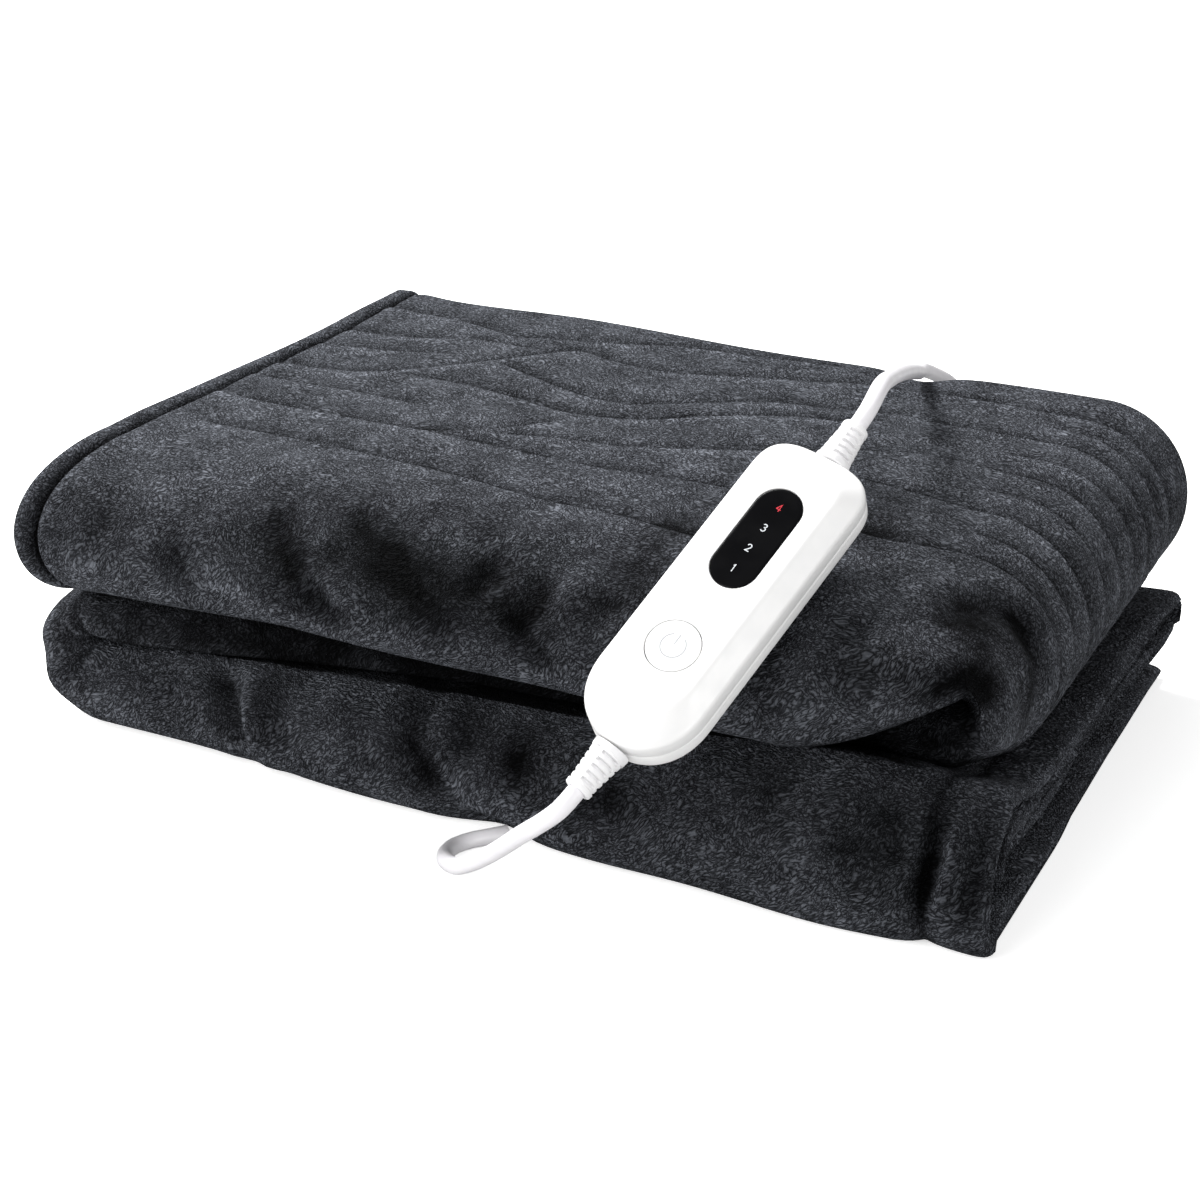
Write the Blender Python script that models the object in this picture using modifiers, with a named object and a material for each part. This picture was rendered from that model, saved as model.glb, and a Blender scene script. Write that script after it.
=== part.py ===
"""Electric heated blanket: a plush throw folded into a stack, with its hand controller and its cords.

The sheet is folded twice across its length, so that it is a packet of four layers with one large
rounded nose at the front. The packet is then laid in three passes, from the top one down, and wraps
round at the right and at the left. The frame's origin is the middle of the stack's base: +X runs
along the front from left to right, +Y to the back, +Z up. Lengths are metres, and the tables and the
sizes that end in _MM are millimetres.
"""

import math
from typing import NamedTuple

import bmesh
import bpy
from mathutils import Matrix, Vector

MM = 0.001
GAP = 0.3 * MM                    # between two pieces that touch

# ---------------------------------------------------------------- the cloth
CLOTH = 7.5 * MM                  # two plush sheets with the heating wires between them
PASS_GAP = 1.6 * MM               # air between two passes of the stack

# Channels that hold the heating wires, sewn along X through the cloth.
CHANNELS = 9
CHANNEL_FIRST = 0.045             # share of the top face, from the nose to the back
CHANNEL_STEP = 0.108
CHANNEL_DEPTH = 2.3 * MM
CHANNEL_CROWN = 0.7 * MM

# Wraps that turn one pass into the next, in the plane of X and Z.
RIGHT_TURN_MM = (179.0, 95.0)     # centre of the wrap between the top and the middle pass
RIGHT_EYE = 2.6 * MM              # inner radius
LEFT_TURN_MM = (-213.0, 45.2)     # centre of the wrap between the middle and the bottom pass
LEFT_EYE = 1.5 * MM
RIGHT_STEPS = 9
LEFT_STEPS = 7
# The nose at the right wrap's outermost line, where it curls in towards the eye.
RIGHT_CURL_MM = {"tip": 17, "front": -154, "deep_outer": 62, "deep_inner": 12}

STACK_LEFT_MM = -225.0            # free edge of the top pass
STACK_RIGHT_MM = 224.0            # free edge of the bottom pass
# Where the sections of each pass stand: distances from the top pass's hem, and places along X.
TOP_REACHES_MM = [50, 82, 115, 148, 181, 214, 247, 278, 305, 328, 350, 370, 388]
MIDDLE_STOPS_MM = [160, 140, 115, 80, 35, -15, -65, -115, -160, -190]
BOTTOM_STOPS_MM = [-190, -163, -130, -95, -60, -25, 10, 45, 80, 115, 148, 174]


class Nose(NamedTuple):
    """One place along a pass, in millimetres; levels are heights above the floor."""
    x: float            # place along the pass
    outer: float        # level of the packet's outer face behind the nose
    bulge: float        # level of that face at the nose
    inner: float        # level of the packet's inner face behind the nose
    sag: float          # level of the inner face at the nose
    tip: float          # level of the foremost line of the nose
    front: float        # Y of that line
    deep_outer: float   # length of the nose's rounding towards the outer face
    deep_inner: float   # length of the nose's rounding towards the inner face
    back: float         # Y of the back edge
    core: float         # Y where the two inner layers turn


# The top pass: its outer face is the top of the stack, and its nose hangs over the middle pass.
TOP_PASS = (
    Nose(-225, 141.0, 138.0, 90.0, 65.0, 103.0, -166, 62, 42, 163, -136),
    Nose(-180, 140.0, 138.5, 90.0, 68.0, 103.5, -165, 61, 36, 158, -137),
    Nose(-100, 141.5, 139.5, 90.5, 71.5, 104.0, -163, 58, 32, 156, -136),
    Nose(0, 139.2, 139.0, 91.0, 71.0, 104.5, -161, 56, 32, 152, -135),
    Nose(60, 139.2, 139.5, 92.0, 71.5, 105.0, -162, 55, 31, 151, -134),
    Nose(120, 140.4, 140.5, 94.0, 74.0, 106.0, -163, 53, 29, 150.5, -132),
    Nose(150, 140.5, 140.0, 96.0, 81.0, 109.0, -161, 54, 26, 150, -124),
    Nose(179, 140.0, 139.0, 97.6, 97.0, 114.0, -156, 58, 22, 150, -104),
)
# The bottom pass: its outer face lies on the floor, and its inner face carries the middle pass.
BOTTOM_PASS = (
    Nose(-210, 0.0, 0.0, 43.7, 43.0, 24.0, -149, 24, 22, 149, -120),
    Nose(-140, 0.0, 0.0, 44.0, 46.5, 24.5, -150, 24, 25, 150, -126),
    Nose(-60, 0.0, 0.0, 45.5, 53.0, 27.0, -153, 22, 28, 151, -129),
    Nose(40, 0.0, 0.0, 47.0, 58.5, 28.0, -156, 18, 29, 150, -128),
    Nose(100, 0.0, 0.0, 48.0, 64.0, 30.0, -157, 17, 30, 149, -127),
    Nose(150, 0.0, 0.0, 48.4, 70.0, 33.0, -157, 17, 31, 148, -126),
    Nose(179, 0.0, 0.0, 48.4, 70.0, 33.0, -156, 17, 31, 147, -124),
    Nose(224, 0.0, 0.0, 51.0, 66.0, 30.0, -154, 17, 28, 145, -120),
)


class Tuck(NamedTuple):
    """How far the middle pass reaches forward at one place, in millimetres."""
    x: float
    front: float
    tip: float
    deep: float
    core: float
    back: float


# The middle pass fills the room between its neighbours, and its nose is tucked back.
MIDDLE_PASS = (
    Tuck(179, -148, 80.0, 30, -92, 148),
    Tuck(150, -112, 76.0, 17, -62, 146),
    Tuck(110, -98, 72.0, 15, -55, 145),
    Tuck(50, -112, 66.5, 13, -53, 145),
    Tuck(-20, -121, 62.5, 12, -53, 146),
    Tuck(-100, -130, 59.5, 12, -53, 147),
    Tuck(-160, -137, 57.0, 13, -54, 148),
    Tuck(-210, -142, 54.5, 13, -56, 148),
)
SAG_FROM_MM = -74.0               # behind this line a face is level
NOSE_LINE_MM = -130.0             # in front of it the face has reached its nose's level


class Hem(NamedTuple):
    """One line along a free edge, in millimetres."""
    reach: float        # distance from the edge
    outer: float        # how far the outer side is drawn in
    inner: float        # how far the inner side is drawn in


LEFT_HEM = (Hem(0, 2.6, 2.6), Hem(2.4, 0.5, 0.7), Hem(6.0, -0.5, 0.0), Hem(9.6, 0.4, 0.0),
            Hem(12.0, 2.4, 0.0), Hem(14.6, 0.9, 0.0), Hem(22.0, 0.0, 0.0))
RIGHT_HEM = (Hem(0, 2.6, 2.6), Hem(2.4, 0.6, 0.7), Hem(8.0, 0.0, 0.0), Hem(17.0, 0.6, 0.0),
             Hem(27.0, 2.2, 0.0), Hem(34.0, 0.3, 0.0))


class Bow(NamedTuple):
    """How far the left hem bows to the right at one place from front to back, in millimetres."""
    y: float
    shift: float


LEFT_BOW = (Bow(-166, -5.0), Bow(-150, -4.0), Bow(-130, -1.5), Bow(-100, 1.3), Bow(-60, 3.0),
            Bow(0, 2.6), Bow(70, 3.6), Bow(110, 1.5), Bow(150, -1.0), Bow(163, -3.5))
LEFT_BOW_RUN = 0.3                # share of the top pass over which the bow fades


class StepBack(NamedTuple):
    """How far a layer's right end stands back from the stack's, in millimetres."""
    front: float
    middle: float
    back: float


STEP_BACK = {
    "outer_low": StepBack(1.0, 5.0, 4.0),
    "outer_high": StepBack(3.0, 2.0, -3.0),
    "core_high": StepBack(8.0, 5.0, 1.0),
    "core_low": StepBack(13.0, 11.0, 8.0),
    "nose": StepBack(2.0, 2.0, 2.0),
}
STACK_HALF_DEPTH = 150 * MM

# ---------------------------------------------------------------- the hand controller
CONTROLLER_LENGTH = 141 * MM
CONTROLLER_WIDTH = 48.2 * MM
BASE_HEIGHT = 9.5 * MM
COVER_WALL = 8.0 * MM             # side wall of the cover
COVER_RISE = 5.8 * MM             # from that wall up to the flat face
BASE_ROUND = 4.0 * MM
FACE_CENTRE = Vector((115.9, -168.2, 148.8)) * MM
HEADING = math.radians(18.9)      # of the long axis, from +Y towards +X
RISE = math.radians(34.4)
ROLL = math.radians(17.3)         # towards the right
OUTLINE_SIDES = 9                 # points on each half of an end

WINDOW_LENGTH = 47.0 * MM
WINDOW_WIDTH = 19.2 * MM
WINDOW_PLACE = 24.5 * MM          # from the middle of the face towards the upper end
WINDOW_THICK = 1.2 * MM
WINDOW_SINK = 0.1 * MM
BUTTON_RADIUS = 10.6 * MM
BUTTON_PLACE = -29.1 * MM
BUTTON_THICK = 3.0 * MM
BUTTON_TRAVEL = 0.8 * MM
BUTTON_CLEAR = 0.35 * MM          # round the button
BUTTON_ROOM = 0.6 * MM            # left under it when it is pressed

# Strain reliefs: a taper with ribs, in millimetres from its root.
RELIEF_LENGTH = 20.0 * MM
RELIEF_ROOT = 7.2 * MM
RELIEF_END = 5.4 * MM
RELIEF_RIBS = 6
RELIEF_TURN_UPPER = math.radians(3)     # the sleeves give a little under their cords
RELIEF_TURN_LOWER = math.radians(-3.4)
RIB_HEIGHT = 0.7 * MM

# ---------------------------------------------------------------- the cords
CORD = 7.2 * MM
CORD_STEP = 13 * MM               # between two points of a cord's tube
STRAIGHT = 8 * MM                 # how far a cord runs straight on from what it meets
MAINS_ROUTE_MM = (                # past the relief: over the stack, down behind it, to the coil
    (137.5, -62, 198.6), (131, -32, 192.8), (123, 5, 183.5), (112, 52, 169.5), (101, 95, 155.5),
    (92, 126, 145.7), (87, 146.5, 140.2), (89, 158, 135), (93, 168, 129), (98, 177, 119), (100, 186, 102),
    (97, 193, 78), (87, 197.5, 53), (72, 200, 29), (57, 201.5, 13.5), (42, 203.3, 8.4),
)
TO_BLANKET_ROUTE_MM = (           # past the relief: down to the floor, round and under the front
    (75.5, -233, 71), (64.5, -229, 61), (52.5, -221.5, 49), (40.5, -213.5, 37.5), (29.5, -207, 28),
    (18, -200, 19.5), (5.5, -188, 12.5), (-2.5, -174, 7), (-4.5, -163, 4.2), (-1, -155.5, 3.8),
    (4.5, -149.5, 3.8),
)
CORD_MOUTH = 3 * MM               # X where the cord goes under the front, and how deep the cloth gives there
CORD_MOUTH_DEEP = 7 * MM
CORD_REST = 87 * MM               # X where the mains cord bears on the back edge, and how far it sinks in
CORD_REST_DEEP = 4.2 * MM
CORD_GIVE = 15.5 * MM             # how far to each side the cloth gives
COIL_CENTRE = Vector((-12, 254, 8.6)) * MM
COIL_TILT = math.radians(1.1)     # the tie's thickness lifts that side
COIL_RADIUS = 40 * MM             # to the middle of its turns
COIL_HALF_WIDTH = 11.0 * MM
COIL_HALF_HEIGHT = 7.4 * MM
TIE_ANGLE = math.radians(112)
TIE_WIDTH = 9 * MM
TIE_THICK = 1.2 * MM
LEAD_ROUTE_MM = (                 # from the coil to the plug
    (-50, 200.6, 8.6), (-63, 202.6, 7.8), (-75, 208, 7.8), (-84, 216.5, 8.8), (-88.5, 226, 9.6),
    (-90, 235, 9.7),
)
COIL_SLANT = math.radians(58)     # between a cord and the coil's radius where it meets the coil
ARRIVE_ANGLE = math.radians(-62)  # where the mains cord meets the lower turns
ARRIVE_RISE = -3.8 * MM           # from the coil's middle
LEAD_ANGLE = math.radians(-110)   # where the lead to the plug leaves the upper turns
LEAD_RISE = 1.0 * MM
PLUG_RELIEF = 22 * MM
PLUG_BODY = (24 * MM, 28 * MM, 19 * MM)     # across, along, high
BLADE = (1.5 * MM, 17.5 * MM, 6.3 * MM)
BLADE_SPACING = 12.7 * MM


# ================================================================ helpers
def mix(a, b, share):
    """The value that lies a share of the way from a to b."""
    return a + (b - a) * share


def smooth(share):
    """Ease a share between 0 and 1, flat at both ends."""
    share = min(1.0, max(0.0, share))
    return share * share * (3.0 - 2.0 * share)


def between(rows, x):
    """The table's row at x in its first column, eased between the two rows beside it."""
    rows = sorted(rows, key=lambda row: row[0])
    x = min(max(x, rows[0][0]), rows[-1][0])
    for low, high in zip(rows, rows[1:]):
        if x <= high[0]:
            share = (x - low[0]) / (high[0] - low[0])
            return type(low)(*(mix(a, b, smooth(share) * 0.5 + share * 0.5) for a, b in zip(low, high)))
    return rows[-1]


def ripple(x, y, seed=0.0):
    """A soft, uneven swell between -1 and 1, for places in metres."""
    return (0.45 * math.sin(31.0 * x + 17.0 * y + 1.3 + seed)
            + 0.33 * math.sin(-23.0 * x + 41.0 * y + 0.4 + 2.0 * seed)
            + 0.22 * math.sin(67.0 * x + 29.0 * y + 2.1 + seed))


def material(name, colour, roughness, metallic=0.0):
    """A plain Principled material."""
    made = bpy.data.materials.new(name)
    made.use_nodes = True
    shader = made.node_tree.nodes["Principled BSDF"]
    shader.inputs["Base Color"].default_value = (*colour, 1.0)
    shader.inputs["Roughness"].default_value = roughness
    shader.inputs["Metallic"].default_value = metallic
    made.diffuse_color = (*colour, 1.0)
    return made


def add_object(name, data, finish, home, matrix=None):
    """Link a new object with its material."""
    made = bpy.data.objects.new(name, data)
    home.objects.link(made)
    made.data.materials.append(finish)
    if matrix is not None:
        made.matrix_world = matrix
    return made


def mesh_from(bm, name):
    """Turn a bmesh into a mesh whose faces point out."""
    bmesh.ops.recalc_face_normals(bm, faces=bm.faces)
    mesh = bpy.data.meshes.new(name)
    bm.to_mesh(mesh)
    bm.free()
    mesh.shade_smooth()
    mesh.set_sharp_from_angle(angle=math.radians(32))
    return mesh


def loft(name, rings):
    """A closed skin through rings of points, capped at both ends."""
    bm = bmesh.new()
    rows = [[bm.verts.new(point) for point in ring] for ring in rings]
    count = len(rows[0])
    for low, high in zip(rows, rows[1:]):
        for i in range(count):
            j = (i + 1) % count
            bm.faces.new((low[i], low[j], high[j], high[i]))
    bm.faces.new(list(reversed(rows[0])))
    bm.faces.new(rows[-1])
    return mesh_from(bm, name)


def cut(target, cutter):
    """Cut one object with another."""
    boolean = target.modifiers.new("cut_" + cutter.name, "BOOLEAN")
    boolean.operation = "DIFFERENCE"
    boolean.object = cutter
    boolean.solver = "EXACT"
    cutter.hide_render = True
    cutter.display_type = "WIRE"


def curve_through(points, step):
    """Points a step apart on a smooth curve through hand-chosen ones."""
    padded = [points[0] * 2 - points[1], *points, points[-1] * 2 - points[-2]]
    dense = []
    for p0, p1, p2, p3 in zip(padded, padded[1:], padded[2:], padded[3:]):
        knots = [0.0]
        for a, b in ((p0, p1), (p1, p2), (p2, p3)):
            knots.append(knots[-1] + math.sqrt((b - a).length))
        t0, t1, t2, t3 = knots
        for k in range(24):
            t = mix(t1, t2, k / 24)
            a1 = p0.lerp(p1, (t - t0) / (t1 - t0))
            a2 = p1.lerp(p2, (t - t1) / (t2 - t1))
            a3 = p2.lerp(p3, (t - t2) / (t3 - t2))
            b1 = a1.lerp(a2, (t - t0) / (t2 - t0))
            b2 = a2.lerp(a3, (t - t1) / (t3 - t1))
            dense.append(b1.lerp(b2, (t - t1) / (t2 - t1)))
    dense.append(points[-1].copy())
    length = sum((b - a).length for a, b in zip(dense, dense[1:]))
    count = max(2, round(length / step))
    picked, done, index = [dense[0]], 0.0, 0
    for k in range(1, count):
        goal = length * k / count
        while done + (dense[index + 1] - dense[index]).length < goal:
            done += (dense[index + 1] - dense[index]).length
            index += 1
        run = dense[index + 1] - dense[index]
        picked.append(dense[index] + run * ((goal - done) / run.length))
    return picked + [dense[-1]]


def tube(name, points, width, finish, home):
    """A cord's tube with filled caps."""
    curve = bpy.data.curves.new(name, "CURVE")
    curve.dimensions = "3D"
    curve.bevel_depth = width / 2
    curve.bevel_resolution = 2
    curve.use_fill_caps = True
    spline = curve.splines.new("POLY")
    spline.points.add(len(points) - 1)
    for place, point in zip(spline.points, points):
        place.co = (*point, 1.0)
    return add_object(name, curve, finish, home)


def turned(name, profile, steps, finish, home, matrix):
    """A piece turned about its own Z from an outline of radius and height, from top to bottom."""
    bm = bmesh.new()
    verts = [bm.verts.new((radius, 0.0, height)) for radius, height in profile]
    for a, b in zip(verts, verts[1:]):
        bm.edges.new((a, b))
    mesh = bpy.data.meshes.new(name)
    bm.to_mesh(mesh)
    bm.free()
    made = add_object(name, mesh, finish, home, matrix)
    screw = made.modifiers.new("turn", "SCREW")
    screw.axis = "Z"
    screw.steps = screw.render_steps = steps
    screw.use_merge_vertices = True
    screw.merge_threshold = 0.00001
    screw.use_smooth_shade = True
    return made


# ================================================================ the blanket
class Packet(NamedTuple):
    """The packet's section at one station: levels are along the station's own normal, in metres."""
    outer: float
    bulge: float
    inner: float
    sag: float
    tip: float
    front: float
    deep_outer: float
    deep_inner: float
    back: float
    core: float


def packet(nose):
    """The section of a table row."""
    return Packet(*(value * MM for value in nose[1:]))


def raised(section, level):
    """The same section measured from another level."""
    return section._replace(outer=section.outer - level, bulge=section.bulge - level,
                            inner=section.inner - level, sag=section.sag - level, tip=section.tip - level)


def flipped(section):
    """The same section with its normal turned round."""
    return section._replace(outer=-section.outer, bulge=-section.bulge, inner=-section.inner,
                            sag=-section.sag, tip=-section.tip)


def face_level(level, nose_level, y):
    """Level of a face at y: flat behind, eased to the nose's level in front."""
    run = (SAG_FROM_MM - NOSE_LINE_MM) * MM
    return mix(level, nose_level, smooth((SAG_FROM_MM * MM - y) / run))


def middle_section(x):
    """The middle pass: it follows the faces of its neighbours, a little apart."""
    above, below, tuck = between(TOP_PASS, x), between(BOTTOM_PASS, x), between(MIDDLE_PASS, x)
    gap = PASS_GAP / MM
    return packet(Nose(x, below.inner + gap, below.sag + gap, above.inner - gap, above.sag - gap,
                       tuck.tip, tuck.front, tuck.deep, tuck.deep, tuck.back, tuck.core))


def section_loop(sec, drawn_out, drawn_in, channel):
    """The cloth's outline across the packet, as (y, level, layer) once round.

    The layers from the outer face inwards are outer_high, core_high, core_low and outer_low. The
    outline starts at the free edge of outer_low, rounds the nose to outer_high, turns at the back
    into core_high, turns inside the nose into core_low, and comes back along the other side.
    """
    side = 1.0 if sec.outer > sec.inner else -1.0
    thick = CLOTH

    def high(y):
        return face_level(sec.outer, sec.bulge, y)

    def low(y):
        return face_level(sec.inner, sec.sag, y)

    def layer(y, share):
        """Middle of the layer that lies a share of the way through the packet."""
        return mix(high(y) - side * thick / 2, low(y) + side * thick / 2, share)

    half = thick / 2 - drawn_in * 0.8
    start_high = sec.front + sec.deep_outer
    start_low = sec.front + sec.deep_inner
    fold_half = abs(high(sec.back) - layer(sec.back, 1 / 3)) / 2 + thick / 4
    fold_back = sec.back - fold_half
    core_half = abs(layer(sec.core, 1 / 3) - layer(sec.core, 2 / 3)) / 2
    core_start = sec.core + core_half + thick / 2
    edge_low = sec.back - 3.0 * MM
    edge_core = sec.back - 9.0 * MM
    loop = []

    def line(level_at, y_from, y_to, shares, name):
        for share in shares:
            y = mix(y_from, y_to, share)
            loop.append((y, level_at(y), name))

    def bend(centre_y, centre, reach, rise_from, rise_to, steps, name, ends=False):
        """Half an ellipse from one level to another, with its own rise on each side of the tip."""
        first, last = (0, steps) if ends else (1, steps - 1)
        for k in range(first, last + 1):
            angle = -math.pi / 2 + math.pi * k / steps
            rise = rise_from if angle < 0 else rise_to
            loop.append((centre_y + reach(angle) * math.cos(angle), centre + rise * math.sin(angle), name))

    # Outer side: under outer_low, round the nose, over outer_high.
    line(lambda y: low(y) + side * drawn_out, edge_low, start_low, (0.0, 0.40, 0.64, 0.78, 0.89, 1.0),
         "outer_low")
    rise_low = abs(low(start_low) - sec.tip) - drawn_out
    rise_high = abs(high(start_high) - sec.tip) - drawn_out
    for k in range(1, 9):
        angle = -math.pi / 2 + math.pi * k / 9
        deep = (sec.deep_inner if angle < 0 else sec.deep_outer) - drawn_out
        start = start_low if angle < 0 else start_high
        rise = rise_low if angle < 0 else rise_high
        loop.append((start - deep * math.cos(angle), sec.tip + side * rise * math.sin(angle), "nose"))
    shares = [0.0]
    for k in range(CHANNELS):
        shares.append(CHANNEL_FIRST + k * CHANNEL_STEP)
        if k < CHANNELS - 1:
            shares.append(CHANNEL_FIRST + (k + 0.5) * CHANNEL_STEP)
    shares.append(1.0)
    for index, share in enumerate(shares):
        wander = channel["wander"][index] if 0 < index < len(shares) - 1 else 0.0
        y = mix(start_high, fold_back, share + wander)
        valley = index % 2 == 1 and index < len(shares) - 1
        drop = channel["depth"] if valley else -channel["crown"]
        drop = drop if 0 < index < len(shares) - 1 else 0.0
        loop.append((y, high(y) - side * (drop + drawn_out), "outer_high"))

    # Round the back fold, along the near side of the core layers, and to their free edge.
    centre = (high(fold_back) + layer(fold_back, 1 / 3) - side * half) / 2
    rise = abs(high(fold_back) - centre) - drawn_out * 0.5
    for k in range(1, 4):
        angle = math.pi / 2 - math.pi * k / 4
        y = fold_back + fold_half * math.cos(angle)
        loop.append((y, centre + side * rise * math.sin(angle), "core_high"))
    line(lambda y: layer(y, 1 / 3) - side * half, fold_back, core_start, (0.0, 0.5, 1.0), "core_high")
    centre = (layer(core_start, 1 / 3) + layer(core_start, 2 / 3)) / 2
    rise = core_half - half
    loop.append((core_start - (core_half - half) * 0.9, centre + side * rise * 0.4, "core_high"))
    loop.append((core_start - (core_half - half) * 0.9, centre - side * rise * 0.4, "core_low"))
    line(lambda y: layer(y, 2 / 3) + side * half, core_start, edge_core, (0.0, 0.5, 1.0), "core_low")
    loop.append((edge_core + 3.0 * MM, layer(edge_core, 2 / 3), "core_low"))

    # The way back: the far side of the core layers and the inner side of the outer ones.
    line(lambda y: layer(y, 2 / 3) - side * half, edge_core, core_start, (0.0, 0.5, 1.0), "core_low")
    for k in range(1, 4):
        angle = -math.pi / 2 + math.pi * k / 4
        rise = core_half + half
        y = core_start - rise * math.cos(angle)
        loop.append((y, centre + side * rise * math.sin(angle), "core_high"))
    line(lambda y: layer(y, 1 / 3) + side * half, core_start, fold_back, (0.0, 0.5, 1.0), "core_high")
    centre = (high(fold_back) - side * (thick - drawn_in) + layer(fold_back, 1 / 3) + side * half) / 2
    loop.append((fold_back + fold_half * 0.2, centre, "outer_high"))
    line(lambda y: high(y) - side * (thick - drawn_in), fold_back, start_high, (0.0, 0.5, 1.0), "outer_high")
    inside = thick - drawn_in
    for k in range(1, 6):
        angle = math.pi / 2 - math.pi * k / 6
        deep = (sec.deep_inner if angle < 0 else sec.deep_outer) - inside
        start = start_low if angle < 0 else start_high
        rise = abs((low(start_low) if angle < 0 else high(start_high)) - sec.tip) - inside
        deep = max(deep, 1.5 * MM)
        rise = max(rise, 0.35 * MM)
        loop.append((start - deep * math.cos(angle), sec.tip + side * rise * math.sin(angle), "nose"))
    line(lambda y: low(y) + side * inside, start_low, edge_low, (0.0, 0.13, 0.26, 0.5, 1.0), "outer_low")
    loop.append((edge_low + 3.0 * MM, low(edge_low) + side * thick / 2, "outer_low"))
    return loop


class Station(NamedTuple):
    """A place along the packet's path where its section is drawn."""
    origin: tuple       # X and Z of the point that levels are measured from
    normal: tuple       # X and Z of the direction that levels grow in
    section: Packet
    along: float        # 0 on the free edge of the top pass, growing by one a pass or wrap
    drawn_out: float
    drawn_in: float
    edge: float         # 1 at the free right edge, 0 away from it


def hem_inset(rows, reach):
    """How far the sides are drawn in at a distance from the free edge."""
    for near, far in zip(rows, rows[1:]):
        if near.reach <= reach <= far.reach:
            share = (reach - near.reach) / (far.reach - near.reach)
            return mix(near.outer, far.outer, share) * MM, mix(near.inner, far.inner, share) * MM
    return 0.0, 0.0


def blend(a, b, share):
    """A section between two others."""
    return Packet(*(mix(p, q, share) for p, q in zip(a, b)))


def path_stations():
    """All stations, from the free edge of the top pass to that of the bottom pass."""
    stations = []
    turn_x, turn_z = RIGHT_TURN_MM
    # Top pass, left to right.
    for reach in [row.reach for row in LEFT_HEM] + TOP_REACHES_MM:
        x = STACK_LEFT_MM + reach
        drawn_out, drawn_in = hem_inset(LEFT_HEM, reach)
        stations.append(Station((x * MM, 0.0), (0.0, 1.0), packet(between(TOP_PASS, x)),
                                reach / (turn_x - STACK_LEFT_MM), drawn_out, drawn_in, 0.0))
    # Right wrap: the outer face is outside.
    first = raised(packet(between(TOP_PASS, turn_x)), turn_z * MM)
    last = flipped(raised(middle_section(turn_x), turn_z * MM))
    first = first._replace(inner=RIGHT_EYE, sag=RIGHT_EYE)
    last = last._replace(inner=RIGHT_EYE, sag=RIGHT_EYE)
    middle = blend(first, last, 0.5)._replace(**{name: value * MM for name, value in RIGHT_CURL_MM.items()})
    for k in range(RIGHT_STEPS + 1):
        share = k / RIGHT_STEPS
        if share < 0.5:
            section = blend(first, middle, smooth(share * 2))
        else:
            section = blend(middle, last, smooth(share * 2 - 1))
        angle = math.pi * share
        stations.append(Station((turn_x * MM, turn_z * MM), (math.sin(angle), math.cos(angle)), section,
                                1.0 + share, 0.0, 0.0, 0.0))
    # Middle pass, right to left.
    for x in MIDDLE_STOPS_MM:
        share = (turn_x - x) / (turn_x - LEFT_TURN_MM[0])
        stations.append(Station((x * MM, 0.0), (0.0, 1.0), middle_section(x), 2.0 + share, 0.0, 0.0, 0.0))
    # Left wrap: the outer face is inside.
    turn_x, turn_z = LEFT_TURN_MM
    first = raised(middle_section(turn_x), turn_z * MM)._replace(outer=LEFT_EYE, bulge=LEFT_EYE)
    last = flipped(raised(packet(between(BOTTOM_PASS, turn_x)), turn_z * MM))
    last = last._replace(inner=LEFT_EYE, sag=LEFT_EYE)
    last = Packet(last.inner, last.sag, last.outer, last.bulge, last.tip, last.front, last.deep_inner,
                  last.deep_outer, last.back, last.core)
    for k in range(LEFT_STEPS + 1):
        share = k / LEFT_STEPS
        angle = math.pi * share
        stations.append(Station((turn_x * MM, turn_z * MM), (-math.sin(angle), math.cos(angle)),
                                blend(first, last, smooth(share)), 3.0 + share, 0.0, 0.0, 0.0))
    # Bottom pass, left to right.
    stops = [(x, STACK_RIGHT_MM - x) for x in BOTTOM_STOPS_MM]
    stops += [(STACK_RIGHT_MM - row.reach, row.reach) for row in reversed(RIGHT_HEM)]
    for x, reach in stops:
        drawn_out, drawn_in = hem_inset(RIGHT_HEM, reach)
        row = packet(between(BOTTOM_PASS, x))
        section = Packet(row.inner, row.sag, row.outer, row.bulge, row.tip, row.front, row.deep_inner,
                         row.deep_outer, row.back, row.core)
        share = (x - turn_x) / (STACK_RIGHT_MM - turn_x)
        stations.append(Station((x * MM, 0.0), (0.0, 1.0), section, 4.0 + share, drawn_out, drawn_in,
                                smooth(1.0 - reach / 40.0)))
    return stations


def blanket_point(station, y, level, layer):
    """The world place of one point of a section, with the cloth's unevenness."""
    along = station.along
    sway = 2.0 * MM * ripple(along * 0.42, y)
    if layer == "nose":
        y += 1.6 * MM * ripple(along * 0.42, 0.1, 2.0) + 0.9 * MM * math.sin(23.0 * along)
    x = station.origin[0] + station.normal[0] * level
    z = station.origin[1] + station.normal[1] * level
    if along < LEFT_BOW_RUN:
        x += between(LEFT_BOW, y / MM).shift * MM * (1.0 - smooth(along / LEFT_BOW_RUN))
    if along < 0.12:
        x += sway * (1.0 - along / 0.12)
        if layer.startswith("core"):
            x += 5.0 * MM * (1.0 - along / 0.12)
    if along < 1.0 and layer in ("outer_high", "core_high"):
        beside = math.exp(-((x - CORD_REST) / CORD_GIVE) ** 2)
        z -= CORD_REST_DEEP * beside * smooth((y - 95 * MM) / (45 * MM))
    if along > 3.5 and layer in ("nose", "outer_low"):
        beside = math.exp(-((x - CORD_MOUTH) / CORD_GIVE) ** 2)
        y += CORD_MOUTH_DEEP * beside * smooth((17 * MM - z) / (9 * MM)) * smooth((-100 * MM - y) / (30 * MM))
    if station.edge > 0.0:
        back = STEP_BACK[layer]
        share = y / STACK_HALF_DEPTH
        stand = mix(back.middle, back.back if share > 0.0 else back.front, smooth(abs(share)))
        x += (sway - stand * MM) * station.edge
    return Vector((x, y, max(z, 0.0)))


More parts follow.
